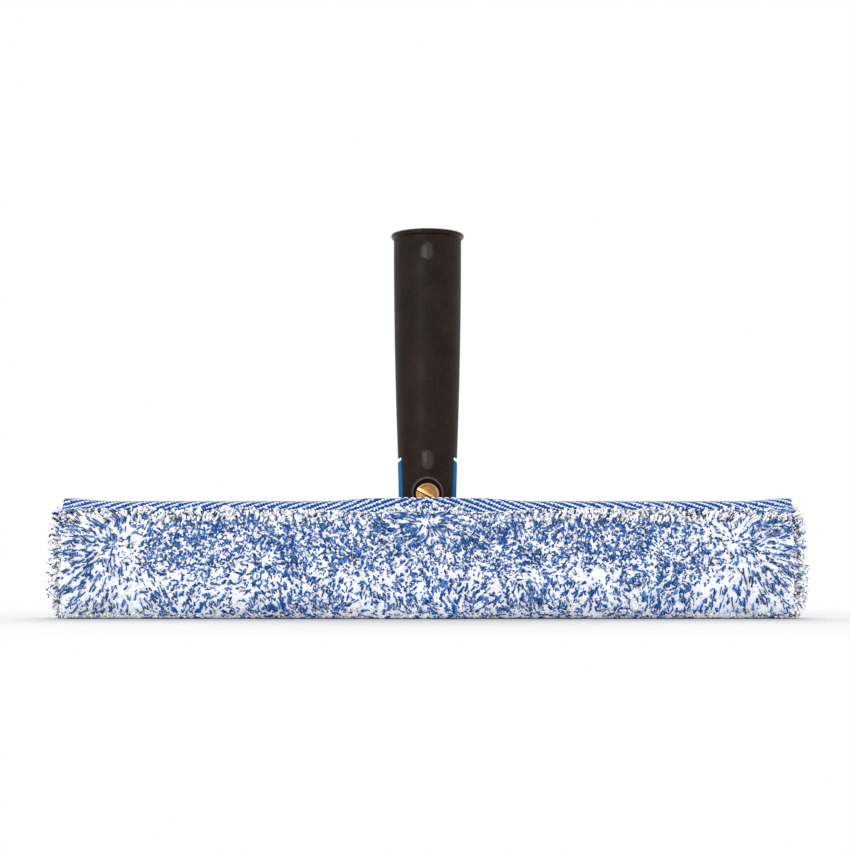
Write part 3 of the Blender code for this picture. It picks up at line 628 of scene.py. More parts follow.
class Sleeve:
    """The sleeve's outside, by place along it and share of its girth.

    By a bell curve its section turns squarer before the fork, and bulges there.
    """

    def __init__(self):
        self.share = np.linspace(0, 1, 600)
        self.y, self.z, self.girth = oval_table(OVAL_POWER)
        self.y_mid, self.z_mid, _ = oval_table(OVAL_POWER_AT_THROAT)

    def outside(self, x, share):
        """(points, outward directions, directions towards the back along the girth)."""
        near = bell(x / THROAT_REACH)
        wide = 1 + BULGE * bell(x / BULGE_REACH)

        def at(s):
            y = np.interp(s, self.share, self.y) * (1 - near) + np.interp(s, self.share, self.y_mid) * near
            z = np.interp(s, self.share, self.z) * (1 - near) + np.interp(s, self.share, self.z_mid) * near
            return y * wide, z

        y, z = at(share)
        ya, za = at(np.clip(share - 0.012, 0, 1))
        yb, zb = at(np.clip(share + 0.012, 0, 1))
        along = unit(np.stack([np.zeros_like(x), yb - ya, zb - za], -1))
        out = np.stack([np.zeros_like(x), along[:, 2], -along[:, 1]], -1)
        return np.stack([x, y, z], -1), out, along


def pile_depth(x, share):
    """How deep the loose ends of the pile are, above its packed lower part.

    They are longest at the ends and before the fork, and shorter along the bands.
    """
    edge = np.minimum(share, 1 - share)
    ends = ease((np.abs(x) - 0.115) / 0.045)
    fork = bell(x / 0.022) * (1 - ease((edge - 0.09) / 0.08))
    loose = PILE_SHORT + (PILE_LONG - PILE_SHORT) * np.maximum(ends, fork)
    return loose * (0.65 + 0.35 * ease((edge - 0.01) / 0.05))


def strands(name, root, middle, tip, radius, twist, tone, sides=4, rings=4, profile=(0.75, 1.0, 1.0, 0.8)):
    """Closed tapered strands. Each follows the parabola (1-t)²·root + 2t(1-t)·middle + t²·tip.

    Round it stand a few corners at radius times the profile, turning by the twist from root to tip, with a
    point on the end and a flat foot.
    """
    t = np.linspace(0, 1, rings)[None, :, None]
    path = (1 - t) ** 2 * root[:, None] + 2 * t * (1 - t) * middle[:, None] + t**2 * tip[:, None]
    way = unit(2 * (1 - t) * (middle - root)[:, None] + 2 * t * (tip - middle)[:, None])
    aside = unit(np.cross(way, np.where(np.abs(way[..., :1]) < 0.8, [[[1.0, 0, 0]]], [[[0, 0, 1.0]]])))
    across = np.cross(way, aside)
    turn = (2 * math.pi * np.arange(sides) / sides)[None, None, :] + twist[:, None, None] * (1 + 0.8 * t)
    size = (radius[:, None] * np.asarray(profile)[None, :])[:, :, None, None]
    offset = np.cos(turn)[..., None] * aside[:, :, None] + np.sin(turn)[..., None] * across[:, :, None]
    ring = path[:, :, None] + size * offset
    apex = path[:, -1] + way[:, -1] * radius[:, None] * 0.5
    count = len(root)
    each = sides * rings + 1
    points = np.concatenate([ring.reshape(count, sides * rings, 3), apex[:, None]], 1).reshape(-1, 3)
    points[:, 2] = np.maximum(points[:, 2], LOWEST)
    start = (np.arange(count) * each)[:, None, None]
    body = (grid_faces(rings, sides, around=True)[None, :, ::-1] + start).reshape(-1, 4)
    foot = (np.arange(sides)[None, None, :] + start).reshape(-1, sides)
    last = (rings - 1) * sides + np.arange(sides)
    cap = np.stack([last, np.roll(last, -1), np.full(sides, each - 1)], -1)
    cap = (cap[None, :, ::-1] + start).reshape(-1, 3)
    around = np.tile(np.arange(sides) / sides, rings)
    level = np.repeat(np.linspace(0, CUT_LEVEL, rings), sides)
    one = np.stack([np.append(around, 0.5), np.append(level, 1.0)], -1)
    return piece(name, points, [body, foot, cap], np.tile(one, (count, 1)), np.repeat(tone, each))


def pile_lean(x, share, z):
    """How far a tuft leans along the sleeve and down it, as slopes.

    Near the ends it points away from a point in the last stretch, and before the fork from one under the
    bands. It leans down below a wandering line, and beside that it follows random fields 11 and 5 mm wide.
    """
    girth = share * GIRTH
    end_x, end_z = PILE_PARTS_FROM
    ends = ease((np.abs(x) - ENDS_FROM) / 0.040)
    end_far = np.maximum(np.hypot(np.abs(x) - end_x, z - end_z), 0.004)
    parting = 0.026 + 0.009 * drift(x, girth * 0, 0.040, 12)
    down = 0.70 * ease((parting - z) / 0.014) - 0.20 * ease((z - 0.030) / 0.016)
    fork_far = np.maximum(np.hypot(x, z - FORK_PARTS_FROM), 0.0025)
    fork = 1.25 * before_fork(x, z)
    clump = 0.50 * drift(x, girth, 0.011, 13) + 0.35 * drift(x, girth, 0.005, 14)
    clump_down = 0.50 * drift(x, girth, 0.012, 15) + 0.35 * drift(x, girth, 0.005, 16)
    along = ends * np.sign(x) * (np.abs(x) - end_x) / end_far + fork * x / fork_far
    over = ends * (end_z - z) / end_far + fork * (FORK_PARTS_FROM - z) / fork_far
    calm = 1 - 0.6 * np.maximum(ends, np.minimum(fork, 1))
    return along + clump * calm, over + (down + clump_down) * calm


def end_reach(z):
    """How far from the middle the outermost wisps reach: furthest a quarter of the way up, least below."""
    belly = 0.0042 * bell((z - 0.014) / 0.011)
    return WISP_REACH + belly - 0.0018 * ease((z - 0.042) / 0.006) - 0.0014 * ease((0.008 - z) / 0.006)


def within_reach(tip, random):
    """X of the tips, kept inside the ends' ragged outline: the outermost reach, less a random bit."""
    limit = end_reach(tip[:, 2]) - np.minimum(random.exponential(0.0013, len(tip)), 0.005)
    return np.sign(tip[:, 0]) * np.minimum(np.abs(tip[:, 0]), limit)


def before_fork(x, z):
    """1 on the sleeve's upper part before the fork, falling off by a bell curve beside it."""
    return bell(x / 0.023) * ease((z - 0.028) / 0.012)


def near_ends(x):
    """0 over most of the sleeve's length, and 1 in its last 4 cm at each end."""
    return ease((np.abs(x) - ENDS_FROM) / 0.02)


def standing_places(sleeve, count, jitter, patchy, random, seed):
    """Where tufts stand on the body: X, girth share, outside point, and the directions out and along.

    They stand evenly but for the jitter. Patchy ones are fewer where a random field is low, low on the
    sleeve, before the fork and near the ends. Of either kind only half as many stand under the sleeve.
    """
    u, share = spread(count, seed)
    x = (u * 2 - 1) * BODY_HALF_LENGTH + random.normal(0, jitter, count)
    x = np.clip(x, -BODY_HALF_LENGTH, BODY_HALF_LENGTH)
    share = BRIM_SHARE + np.abs(share + random.normal(0, jitter / GIRTH, count) - BRIM_SHARE)
    share = 1 - BRIM_SHARE - np.abs(1 - BRIM_SHARE - share)
    outer, out, along = sleeve.outside(x, share)
    z = outer[:, 2]
    stands = 1 + patchy * (0.6 * drift(x, share * GIRTH, 0.006, 22) + 1.15 * ease((z - 0.016) / 0.014) - 0.70)
    stands = stands * (1 - patchy * np.maximum(0.6 * before_fork(x, z), near_ends(x)))
    stands = stands * (1 - 0.5 * ease((0.002 - z) / 0.001))
    kept = random.uniform(0, 1 + 0.9 * patchy, count) < stands
    return [part[kept] for part in (x, share, outer, out, along)]


def slant_of(x, share, outer, along, wander, random):
    """How each tuft slants over the cloth: as the pile leans, give or take a random bit.

    Under the sleeve, between the bar and the ground, none leans across.
    """
    lean_x, lean_down = pile_lean(x, share, outer[:, 2])
    lean_x = lean_x + random.normal(0, wander, len(x))
    lean_down = (lean_down + random.normal(0, wander, len(x))) * (1 - ease((0.006 - outer[:, 2]) / 0.004))
    towards_back = lean_down * np.where(share < 0.5, 1.0, -1.0)
    return lean_x[:, None] * np.array([1.0, 0.0, 0.0]) + along * towards_back[:, None]


def with_twist(root, middle, tip, size, random):
    """Each tuft's root, middle, tip and radius, with a random twist and tone."""
    count = len(root)
    return root, middle, tip, size, random.uniform(0, 2 * math.pi, count), random.uniform(0, 1, count)


def standing_tufts(sleeve, count, radius, seed):
    """Roots, middles, tips, radii, twists and tones of the white tufts round the body, and their girth share.

    Each stands on the backing and leans with the pile.
    """
    random = np.random.default_rng(seed)
    x, share, outer, out, along = standing_places(sleeve, count, 0.0003, 0.0, random, seed)
    count = len(x)
    depth = pile_depth(x, share)
    slant = slant_of(x, share, outer, along, 0.2, random)
    lean = np.linalg.norm(slant, axis=1)
    slant = slant * (np.minimum(lean, LEAN_MOST) / np.maximum(lean, 1e-6))[:, None]
    height = depth * random.normal(1.0, 0.06, count) * (1 - 0.18 * np.minimum(lean, LEAN_MOST))
    root = outer - out * (depth + 0.0004)[:, None] - slant * (depth * 0.55)[:, None]
    tip = root + (out + slant) * (height + 0.0004)[:, None]
    middle = root + (out + slant * 0.35) * (height * 0.55)[:, None] + random.normal(0, 0.0003, (count, 3))
    tip[:, 0] = within_reach(tip, random)
    size = radius * (1 + 0.3 * random.uniform(-1, 1, count))
    return with_twist(root, middle, tip, size, random), share


def pressed_tufts(sleeve, count, radius, seed):
    """The same for the blue tufts, which are longer and lie pressed over on the white ones.

    Each comes up from the backing, bends just over the white tips and ends level with them. It lies the
    longer the more the pile leans there, and is thinner before the fork and near the ends. One in six stands
    upright instead, and shows its cut end.
    """
    random = np.random.default_rng(seed)
    x, share, outer, out, along = standing_places(sleeve, count, 0.0011, BLUE_PATCHY, random, seed)
    count = len(x)
    loose = np.minimum(pile_depth(x, share) / PILE_SHORT, BLUE_LOOSE_MOST)
    slant = slant_of(x, share, outer, along, 0.25, random)
    lean = np.minimum(np.linalg.norm(slant, axis=1), 1.4)
    way = unit(slant)
    length = (0.0010 + 0.0016 * lean * loose) * random.uniform(0.5, 1.5, count)
    size = np.clip(radius * np.exp(random.normal(0, 0.28, count)), 0.6 * radius, 1.6 * radius)
    size = size * (1 - 0.25 * np.maximum(before_fork(x, outer[:, 2]), near_ends(x)))
    upright = random.uniform(0, 1, count) < BLUE_UPRIGHT
    length[upright] *= 0.2
    size[upright] *= 1.35
    bow = np.cross(way, out) * (length * random.normal(0, 0.3, count))[:, None]
    root = outer - way * (length * 0.5)[:, None] - out * 0.0022
    middle = outer - way * (length * 0.25)[:, None] + out * 0.0017 + bow
    middle[upright] = outer[upright] - out[upright] * 0.0010
    tip = outer + way * (length * 0.6)[:, None]
    tip[:, 0] = within_reach(tip, random)
    return with_twist(root, middle, tip, size, random), share


def brim_height(x):
    """How high the tufts along the bands' feet reach: high before the fork, low beside it and at the ends."""
    far = np.abs(x)
    high = 0.0028 * bell(far / 0.011)
    low = -0.0024 * bell((far - 0.033) / 0.013)
    at_ends = -0.0020 * ease((far - 0.150) / 0.020)
    return BRIM_TOP + high + low + at_ends + 0.0006 * drift(x, x * 0, 0.009, 17)


def brim_tufts(side, count, radius, seed):
    """The same for the rows of tufts that stand up before a band's foot, the lowest ones furthest out."""
    random = np.random.default_rng(seed)
    x = (spread(count, seed)[0] * 2 - 1) * (BODY_HALF_LENGTH + 0.003)
    down = random.uniform(0, 1, count)
    foot_y, foot_z = BRIM_FOOT
    root = np.stack([x, side * (foot_y + 0.0004 * down), foot_z - 0.0052 * down], -1)
    fan = np.clip(x / 0.010, -1, 1) * 1.5 * bell(x / 0.026) + 0.9 * drift(x, x * 0, 0.007, 18)
    fan = fan + np.sign(x) * ease((np.abs(x) - 0.125) / 0.03) + random.normal(0, 0.3, count)
    top = brim_height(x) - 0.0046 * down + random.normal(0, 0.0004, count)
    rise = np.maximum(top - root[:, 2], 0.0010)
    lean = fan * np.maximum(rise, 0.0018) * 0.8
    out = 0.0022 + 0.0012 * down + random.normal(0, 0.0004, count)
    tip = root + np.stack([lean, side * out, rise], -1)
    middle = root + np.stack([lean * 0.2, side * out * 0.8, rise * 0.4], -1)
    tip[:, 0] = within_reach(tip, random)
    size = radius * random.uniform(0.75, 1.15, count)
    return with_twist(root, middle, tip, size, random)


def end_panel(side, far, turn):
    """Points on an end panel's cloth, and the same as shares of its oval in Y and Z.

    Its rings are squarish ovals, smaller towards the middle, which stands out by 1 - share⁴ of the bulge.
    """
    y, z = squarish(turn, OVAL_POWER)
    y, z = y * far, z * far
    x = side * (END_ROOT - END_TUCK + END_BULGE * (1 - far**4)) * np.ones_like(y)
    middle = END_TOP * END_MIDDLE
    points = np.stack([x, y * (END_HALF_DEPTH - END_SEAM_ASIDE), middle + z * (middle - END_SEAM_ABOVE)], -1)
    return points, y, z


def end_tufts(side, count, radius, seed):
    """The same for the panel that closes one end: tufts on a squarish oval, fanning out from its middle."""
    random = np.random.default_rng(seed)
    u, v = spread(count, seed)
    far = np.sqrt(u)
    root, y, z = end_panel(side, far, v * 2 * math.pi)
    fan = np.stack([np.zeros(count), y * far, z * far], -1)
    clump_y = drift(root[:, 1], root[:, 2], 0.008, 19)
    clump_z = drift(root[:, 1], root[:, 2], 0.008, 20)
    clump = np.stack([np.zeros(count), clump_y, clump_z], -1)
    way = np.array([side, 0, -0.15]) + fan * 0.55 + clump * 0.45 + random.normal(0, 0.2, (count, 3))
    reach = END_PILE * (0.70 + 0.30 * (1 - far**4)) * random.normal(1.0, 0.12, count)
    tip = root + unit(way) * reach[:, None]
    tip[:, 0] = within_reach(tip, random)
    middle = root + np.array([side, 0, 0]) * (reach * 0.5)[:, None] + random.normal(0, 0.0004, (count, 3))
    size = radius * random.uniform(0.65, 1.15, count)
    return with_twist(root, middle, tip, size, random)


def bent(points, count=60):
    """A smooth path through a quadratic curve's three points."""
    t = np.linspace(0, 1, count)[:, None]
    first, middle, last = (np.array(point) for point in points)
    return (1 - t) ** 2 * first + 2 * t * (1 - t) * middle + t**2 * last


def run_of(points):
    """A path's distances from its first point."""
    return np.concatenate([[0], np.cumsum(np.linalg.norm(np.diff(points, axis=0), axis=1))])


def closed_path(front):
    """A band's section where the sleeve is closed, in Y and Z from its foot to its free edge.

    The foot lies out over the tufts, and the band bends from it to the flat top.
    """
    foot_y, foot_z = SKIRT_FOOT
    if front:
        waist = (-0.0134, BAND_FRONT_Z - 0.0030)
        skirt = bent(((-foot_y, foot_z), (-0.0140, foot_z + 0.0012), waist))
        bend = bent((waist, (-0.0130, BAND_FRONT_Z), (-0.0095, BAND_FRONT_Z)))
        return np.concatenate([skirt, bend[1:], [[BAND_FRONT_EDGE, BAND_FRONT_Z]]])
    skirt = bent(((foot_y, foot_z), (0.0143, BAND_BACK_Z + 0.0002), (0.0105, BAND_BACK_Z)))
    return np.concatenate([skirt, [[BAND_BACK_EDGE, BAND_BACK_Z]]])


def lip_path(front):
    """The same before the fork: a wall, a bend at its top, and a flat run that is cut off there."""
    top = BAND_LIP_TOP - (0.0 if front else BAND_LIP_BACK_LOWER)
    foot_z = SKIRT_FOOT[1]
    shoulder = (BAND_LIP_FOOT, top - 0.0008)
    wall = bent(((BAND_LIP_FOOT + 0.0009, foot_z), (BAND_LIP_FOOT + 0.0006, foot_z + 0.004), shoulder))
    bend = bent((shoulder, (BAND_LIP_FOOT, top), (BAND_LIP_FOOT - 0.0010, top)))
    return np.concatenate([wall, bend[1:], [[-0.0095, top]]]) * [-1.0 if front else 1.0, 1.0]


def band_surface(front, along, across):
    """A band's middle surface on a grid, as points, and its distances across from the foot.

    Its section goes from the closed one to the lip by a smooth step along X. Both are a wall and then a flat
    run, and the flat run gets shorter, so that the free edges part round the handle's fork.
    """
    x = np.linspace(-BAND_HALF_LENGTH, BAND_HALF_LENGTH, along)
    closed = ease((np.abs(x) - BAND_PARTS_TO) / (BAND_PARTS_FROM - BAND_PARTS_TO))[:, None]
    flat = closed_path(front)
    lip = lip_path(front)
    flat_run, lip_run = run_of(flat), run_of(lip)
    width = BAND_LIP_WIDTH + (flat_run[-1] - BAND_LIP_WIDTH) * closed
    distance = width * np.linspace(0, 1, across)[None, :]
    y_flat, z_flat = (np.interp(distance, flat_run, flat[:, i]) for i in (0, 1))
    y_lip, z_lip = (np.interp(distance, lip_run, lip[:, i]) for i in (0, 1))
    lift = BAND_END_LIFT * ease((np.abs(x) - 0.150) / 0.022)[:, None] * (1 if front else 0)
    wave = 0.00018 * drift(x, x * 0, 0.016, 3 if front else 4)[:, None] * distance / flat_run[-1]
    y = y_lip * (1 - closed) + y_flat * closed
    z = z_lip * (1 - closed) + z_flat * closed + lift + wave
    return np.stack([np.repeat(x[:, None], across, 1), y, z], -1), distance


def surface_normals(points):
    """Unit normals of a grid of points, from the cross product of its two directions."""
    return unit(np.cross(np.gradient(points, axis=0), np.gradient(points, axis=1)))


def twill_relief(x, distance):
    """The twill's ribs: a sine across the stripes, which climb one step across for each step along."""
    phase = np.abs(x) / STRIPE_STEP_ALONG + distance / STRIPE_STEP_ACROSS
    return np.cos(2 * math.pi * (phase - BLUE_THREADS / 2) / STRIPE_THREADS)


def make_band(name, front):
    points, distance = band_surface(front, 360, 44)
    out = surface_normals(points) * (1.0 if front else -1.0)
    points = points + out * (RIB_HEIGHT * twill_relief(points[..., 0], distance))[..., None]
    faces = grid_faces(*points.shape[:2])
    if not front:
        faces = faces[:, ::-1]
    made = piece(name, points, [faces], np.stack([points[..., 0], distance], -1))
    thicken(made, BAND_THICK)
    shade(made, 60)
    return made


def make_stitches(name, front, shares):
    """Lockstitch seams along a band: short threads that dive into the cloth between stitches."""
    rows, columns = 1600, 101
    points, _ = band_surface(front, rows, columns)
    out = surface_normals(points) * (1.0 if front else -1.0)
    x = np.arange(-BAND_HALF_LENGTH + 0.004, BAND_HALF_LENGTH - 0.004, STITCH_PITCH)
    near = np.interp(x, points[:, 0, 0], np.arange(rows)).astype(int)
    far = np.interp(x + STITCH_PITCH * STITCH_LENGTH, points[:, 0, 0], np.arange(rows)).astype(int)
    seams = []
    for share in shares:
        column = int(share * 100)
        first, last = (points[row, column] + out[row, column] * BAND_THICK * 0.42 for row in (near, far))
        seams.append((first, (first + last) / 2 + out[near, column] * 0.0009, last))
    first, top, last = (np.concatenate(part) for part in zip(*seams))
    count = len(first)
    radius = np.full(count, STITCH_RADIUS)
    tone = np.random.default_rng(8).uniform(0.3, 0.9, count)
    form = {"sides": 6, "rings": 6, "profile": (0.8, 1, 1, 1, 1, 0.8)}
    return strands(name, first, top, last, radius, np.zeros(count), tone, **form)


def make_backing(sleeve):
    """The knitted cloth that the tufts stand in, folded under the bar.

    It is the sleeve's outside, moved in by the depth of the pile's loose part.
    """
    along, girth = 240, 96
    x = np.repeat(np.linspace(-BODY_HALF_LENGTH, BODY_HALF_LENGTH, along), girth)
    share = np.tile(np.linspace(0.003, 0.997, girth), along)
    outer, out, _ = sleeve.outside(x, share)
    bumps = 0.0003 * drift(x, share * GIRTH, 0.003, 21)
    points = outer - out * (pile_depth(x, share) * (1 - PILE_PACKED) + bumps)[:, None]
    points[:, 2] = np.maximum(points[:, 2], 0.0012)
    made = piece("sleeve_backing", points, [grid_faces(along, girth)[:, ::-1]])
    return thicken(made, CLOTH_THICK, -1)


def make_end_backing(name, side):
    """The oval of knitted cloth under an end panel's tufts."""
    rings, count = 12, 72
    turn = np.linspace(0, 2 * math.pi, count, endpoint=False)
    points = end_panel(side, np.linspace(1, 0.0, rings)[:, None], turn)[0]
    return thicken(piece(name, points, [grid_faces(rings, count, around=True)], merged=True), CLOTH_THICK)


def make_strip(name, node):
    """A strip of hook or loop tape in its node's place: a grid with rounded ends and a slight wave."""
    low, high = (np.array(corner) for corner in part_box(node))
    along, across = 90, 14
    s = np.linspace(-1, 1, along)[:, None]
    t = np.linspace(-1, 1, across)[None, :]
    middle = (low + high) / 2
    half = (high - low) / 2
    end = 1 - (0.002 / half[0]) * (t**2)
    x = middle[0] + half[0] * s * end
    y = middle[1] + half[1] * t * np.ones_like(s)
    z = middle[2] + 0.00006 * np.sin(s * 40) * np.ones_like(t)
    return thicken(piece(name, np.stack([x, y, z], -1), [grid_faces(along, across)[:, ::-1]]), TAPE_THICK)


def tube_radius(z):
    """The handle's radius: nearly straight under the rim, and narrowing faster towards the fork."""
    below = np.maximum(0.0, HANDLE_TOP - RIM_HEIGHT - z)
    return TUBE_TOP_RADIUS - TUBE_DROP * (below / TUBE_DROP_LENGTH) ** TUBE_DROP_POWER


def handle_profile():
    """Radii and heights from the socket's floor, up its wall, over the rolled rim and down the outside."""
    rim_low = HANDLE_TOP - RIM_HEIGHT
    nose = RIM_HEIGHT / 2
    floor = PIVOT_Z + SOCKET_FLOOR
    inner_z = np.linspace(floor + 0.0006, HANDLE_TOP - 0.0009, 40)
    share = (inner_z - floor) / (HANDLE_TOP - floor)
    inner_r = SOCKET_FLOOR_RADIUS + (SOCKET_MOUTH_RADIUS - SOCKET_FLOOR_RADIUS) * share
    mouth = arc(SOCKET_MOUTH_RADIUS + 0.0009, HANDLE_TOP - 0.0009, 0.0009, 180, 90, 8)
    roll = arc(RIM_RADIUS - nose, HANDLE_TOP - nose, nose, 90, -80, 20)
    fillet = arc(TUBE_TOP_RADIUS + 0.0003, rim_low - 0.0003, 0.0003, 110, 180, 5)
    outer_z = np.append(np.linspace(rim_low - 0.0006, HANDLE_FOOT + 0.0004, 230), HANDLE_FOOT - 0.0006)
    outer_r = tube_radius(outer_z)
    rolled_r = np.concatenate([mouth[:, 0], roll[:, 0], fillet[:, 0]])
    rolled_z = np.concatenate([mouth[:, 1], roll[:, 1], fillet[:, 1]])
    radius = np.concatenate([[0, SOCKET_FLOOR_RADIUS - 0.0006], inner_r, rolled_r, outer_r, [0]])
    height = np.concatenate([[floor, floor], inner_z, rolled_z, outer_z, [outer_z[-1]]])
    return radius, height


def pip_share(aside, z):
    """How far the pips stand out: an upright ridge with a rounded crest, 1 - root of (side² + rounding²).

    Half of height⁴ is taken off, which closes it above and below.
    """
    shares = []
    for low, half_width, half_height, proud in PIPS:
        ridge = np.sqrt((aside / half_width) ** 2 + PIP_ROUNDING**2)
        closing = 0.5 * ((z - PIVOT_Z - low) / half_height) ** 4
        shares.append(proud * np.clip(1 + PIP_ROUNDING - ridge - closing, 0, None))
    return sum(shares)


def sink_share(aside, z):
    """How much of a sink mark is at a place: a bell curve in height and turn at each mark."""
    side = (aside / SINK_REACH) ** 2
    return sum(np.exp(-side - ((z - PIVOT_Z - low) / SINK_REACH) ** 2) for low in SINK_MARKS)


def handle_relief(turn, z, r):
    """The pips front and back, and the shallow sink marks that the moulding shrinks to between them."""
    outer = (r > tube_radius(z) - 0.0002) & (r < tube_radius(z) + 0.0002)
    added = np.zeros_like(z * turn)
    for facing in (-math.pi / 2, math.pi / 2):
        aside = np.angle(np.exp(1j * (turn - facing))) * tube_radius(z)
        added = added + pip_share(aside, z) - SINK_DEPTH * sink_share(aside, z)
    return np.where(outer, added, 0.0)


def polish(made):
    """Marks how smooth the mould was on the pips, the rim and the sink marks.

    It also marks where a highlight is painted: round the recess's edge and on the pips.
    """
    x, y, z = points_of(made.data)
    aside = np.where(np.hypot(x, y) > tube_radius(z) - 0.0003, x, 1.0)
    on_pip = ease(pip_share(aside, z) / 0.0002)
    on_rim = ease((z - HANDLE_TOP + RIM_HEIGHT + 0.0002) / 0.0003)
    shine = np.maximum.reduce([on_pip, 0.45 * sink_share(aside, z), on_rim])
    mark(made.data, "polish", shine)
    from_pocket = np.hypot(x, z - PIVOT_Z - COUNTERBORE_RISE) - COUNTERBORE_RADIUS
    # Painted highlight: a paler ring just round the recess's rounded edge, and a little on the pips' crests.
    recess_highlight = bell((from_pocket - 0.0003) / 0.00028) * (y < -SEAT - 0.0006)
    mark(made.data, "worn", np.maximum(recess_highlight, 0.25 * ease((pip_share(aside, z) - 0.0001) / 0.0004)))


def at_pivot(made):
    """Turns a piece made about Z so that its top faces the front, at the pivot."""
    made.data.transform(Matrix.Translation((0, 0, PIVOT_Z)) @ Matrix.Rotation(math.pi / 2, 4, "X"))
    return made


def bar_along_y(name, radius, front, back, rise=0.0, count=96):
    """A cylinder along Y at or above the pivot, as a cutting tool."""
    return prism(name, arc(0, PIVOT_Z + rise, radius, 0, 360 - 360 / count, count), front, back)


def make_handle():
    """The handle: a turned tube with relief, less the fork's slot, the cheeks' ends, the hole and pockets."""
    made = turned("handle_moulding", *handle_profile(), count=200, relief=handle_relief)
    crown = arc(0, PIVOT_Z, FORK_SLOT_RADIUS, 0, 180, 64)
    slot = np.concatenate([crown, [[-FORK_SLOT_RADIUS, 0], [FORK_SLOT_RADIUS, 0]]])
    below = arc(0, PIVOT_Z, CHEEK_END_RADIUS, 180, 360, 64)
    ends = np.concatenate([[[-0.04, PIVOT_Z]], below, [[0.04, PIVOT_Z], [0.04, 0], [-0.04, 0]]])
    corner = (NUT_ACROSS_FLATS / 2 + POCKET_PLAY) / math.cos(math.pi / 6)
    tools = [
        prism("slot_tool", slot, -FORK_SLOT_WIDTH / 2, FORK_SLOT_WIDTH / 2),
        prism("end_tool", ends, -0.03, 0.03),
        bar_along_y("counterbore_tool", COUNTERBORE_RADIUS, -0.03, -SEAT, COUNTERBORE_RISE),
        bar_along_y("hole_tool", HOLE_RADIUS, -0.03, 0.03, count=48),
        prism("pocket_tool", arc(0, PIVOT_Z, corner, 90, 390, 6), SEAT, 0.03),
    ]
    cut(made, tools)
    soften(made, 0.00028, 2, 38)
    polish(made)
    return made


def make_screw():
    """The screw: a turned cheese head, dished with a ring groove, a shank, and a slot across the head."""
    face = -SCREW_FACE
    edge = 0.0005
    rounded = arc(SCREW_HEAD_RADIUS - edge, face - edge, edge, 80, 0, 10)
    dish_r = np.array([0, 0.0020, 0.0037, 0.0040, 0.0045, 0.0047])
    dish_z = face - np.array([0.00018, 0.00018, 0.00014, 0.00030, 0.00030, 0.0])
    under = face - SCREW_HEAD_HEIGHT
    shank = np.linspace(under - 0.0004, -SCREW_TIP + 0.0006, 24)
    tail_r = [SCREW_HEAD_RADIUS, SCREW_HEAD_RADIUS - 0.0002, SCREW_SHANK_RADIUS + 0.0001]
    tail_z = [under + 0.0002, under, under]
    shank_r = np.append(np.full(24, SCREW_SHANK_RADIUS), [SCREW_SHANK_RADIUS - 0.0006, 0])
    radius = np.concatenate([dish_r, rounded[:, 0], tail_r, shank_r])
    height = np.concatenate([dish_z, rounded[:, 1], tail_z, shank, [-SCREW_TIP, -SCREW_TIP]])
    made = at_pivot(turned("screw_brass", radius[::-1], height[::-1], count=128))
    half = SCREW_SLOT_WIDTH / 2
    outline = np.array([[-0.02, -half], [0.02, -half], [0.02, half], [-0.02, half]])
    c, s = math.cos(-SCREW_SLOT_ANGLE), math.sin(-SCREW_SLOT_ANGLE)
    outline = outline @ np.array([[c, s], [-s, c]]) + [0, PIVOT_Z]
    cut(made, [prism("driver_tool", outline, -0.03, SCREW_FACE + SCREW_SLOT_DEPTH)])
    soften(made, 0.00018, 2, 40)
    paint_slot_light(made)
    return made


def paint_slot_light(made):
    """Marks the screw's slot inside with 0.5, painted as a highlight, and its lower side with 1, painted as a
    shadow.
    """
    x, y, z = points_of(made.data)
    above = x * math.sin(SCREW_SLOT_ANGLE) + (z - PIVOT_Z) * math.cos(SCREW_SLOT_ANGLE)
    inside = (y > SCREW_FACE + 0.0004) & (y < SCREW_FACE + SCREW_SLOT_DEPTH + 0.0002)
    inside = inside & (np.abs(above) < SCREW_SLOT_WIDTH / 2 + 0.0001)
    # Painted highlight on the slot's upper half, painted shadow on its lower half.
    mark(made.data, "soiled", np.where(inside, np.where(above < 0, 1.0, 0.5), 0.0))


def make_nut():
    """The nut: at each turn its radius is the smaller of the hexagon's and a chamfer cone's, about a bore."""
    count, steps = 120, 14
    turn = np.linspace(0, 2 * math.pi, count, endpoint=False)
    flat = NUT_ACROSS_FLATS / 2
    hexagon = flat / np.cos((turn + math.pi / 6) % (math.pi / 3) - math.pi / 6)
    thick = NUT_OUTER - NUT_INNER
    up = np.linspace(0, thick, steps)
    cone = flat / math.cos(math.pi / 6) + 0.0001 - np.maximum(0.0, up - (thick - NUT_CHAMFER)) * 1.7
    outside = np.minimum(hexagon[None, :], cone[:, None])
    bore = np.full((1, count), SCREW_SHANK_RADIUS + NUT_PLAY)
    radius = np.concatenate([bore, outside, bore, bore])
    height = np.repeat(np.concatenate([[0.0], up, [thick, 0.0]])[:, None], count, 1)
    points = np.stack([radius * np.cos(turn), radius * np.sin(turn), -NUT_INNER - height], -1)
    made = at_pivot(piece("nut_brass", points, [grid_faces(len(radius), count, around=True)], merged=True))
    soften(made, 0.00008, 1, 40)
    return made


def paint(made, material):
    made.data.materials.clear()
    made.data.materials.append(material)


def place(made, material, body, node=None):
    """Gives a piece its material and its body, and hides the node that it replaces, if any."""
    paint(made, material)
    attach(made, body)
    if node is not None:
        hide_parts(node)


def tuft_piece(name, tufts, form, yarn):
    made = strands(name, *tufts, **form)
    place(made, yarn, HEAD)
    return made


# How a setting that is a length is shown
LENGTH = {"subtype": "DISTANCE", "unit": "LENGTH"}


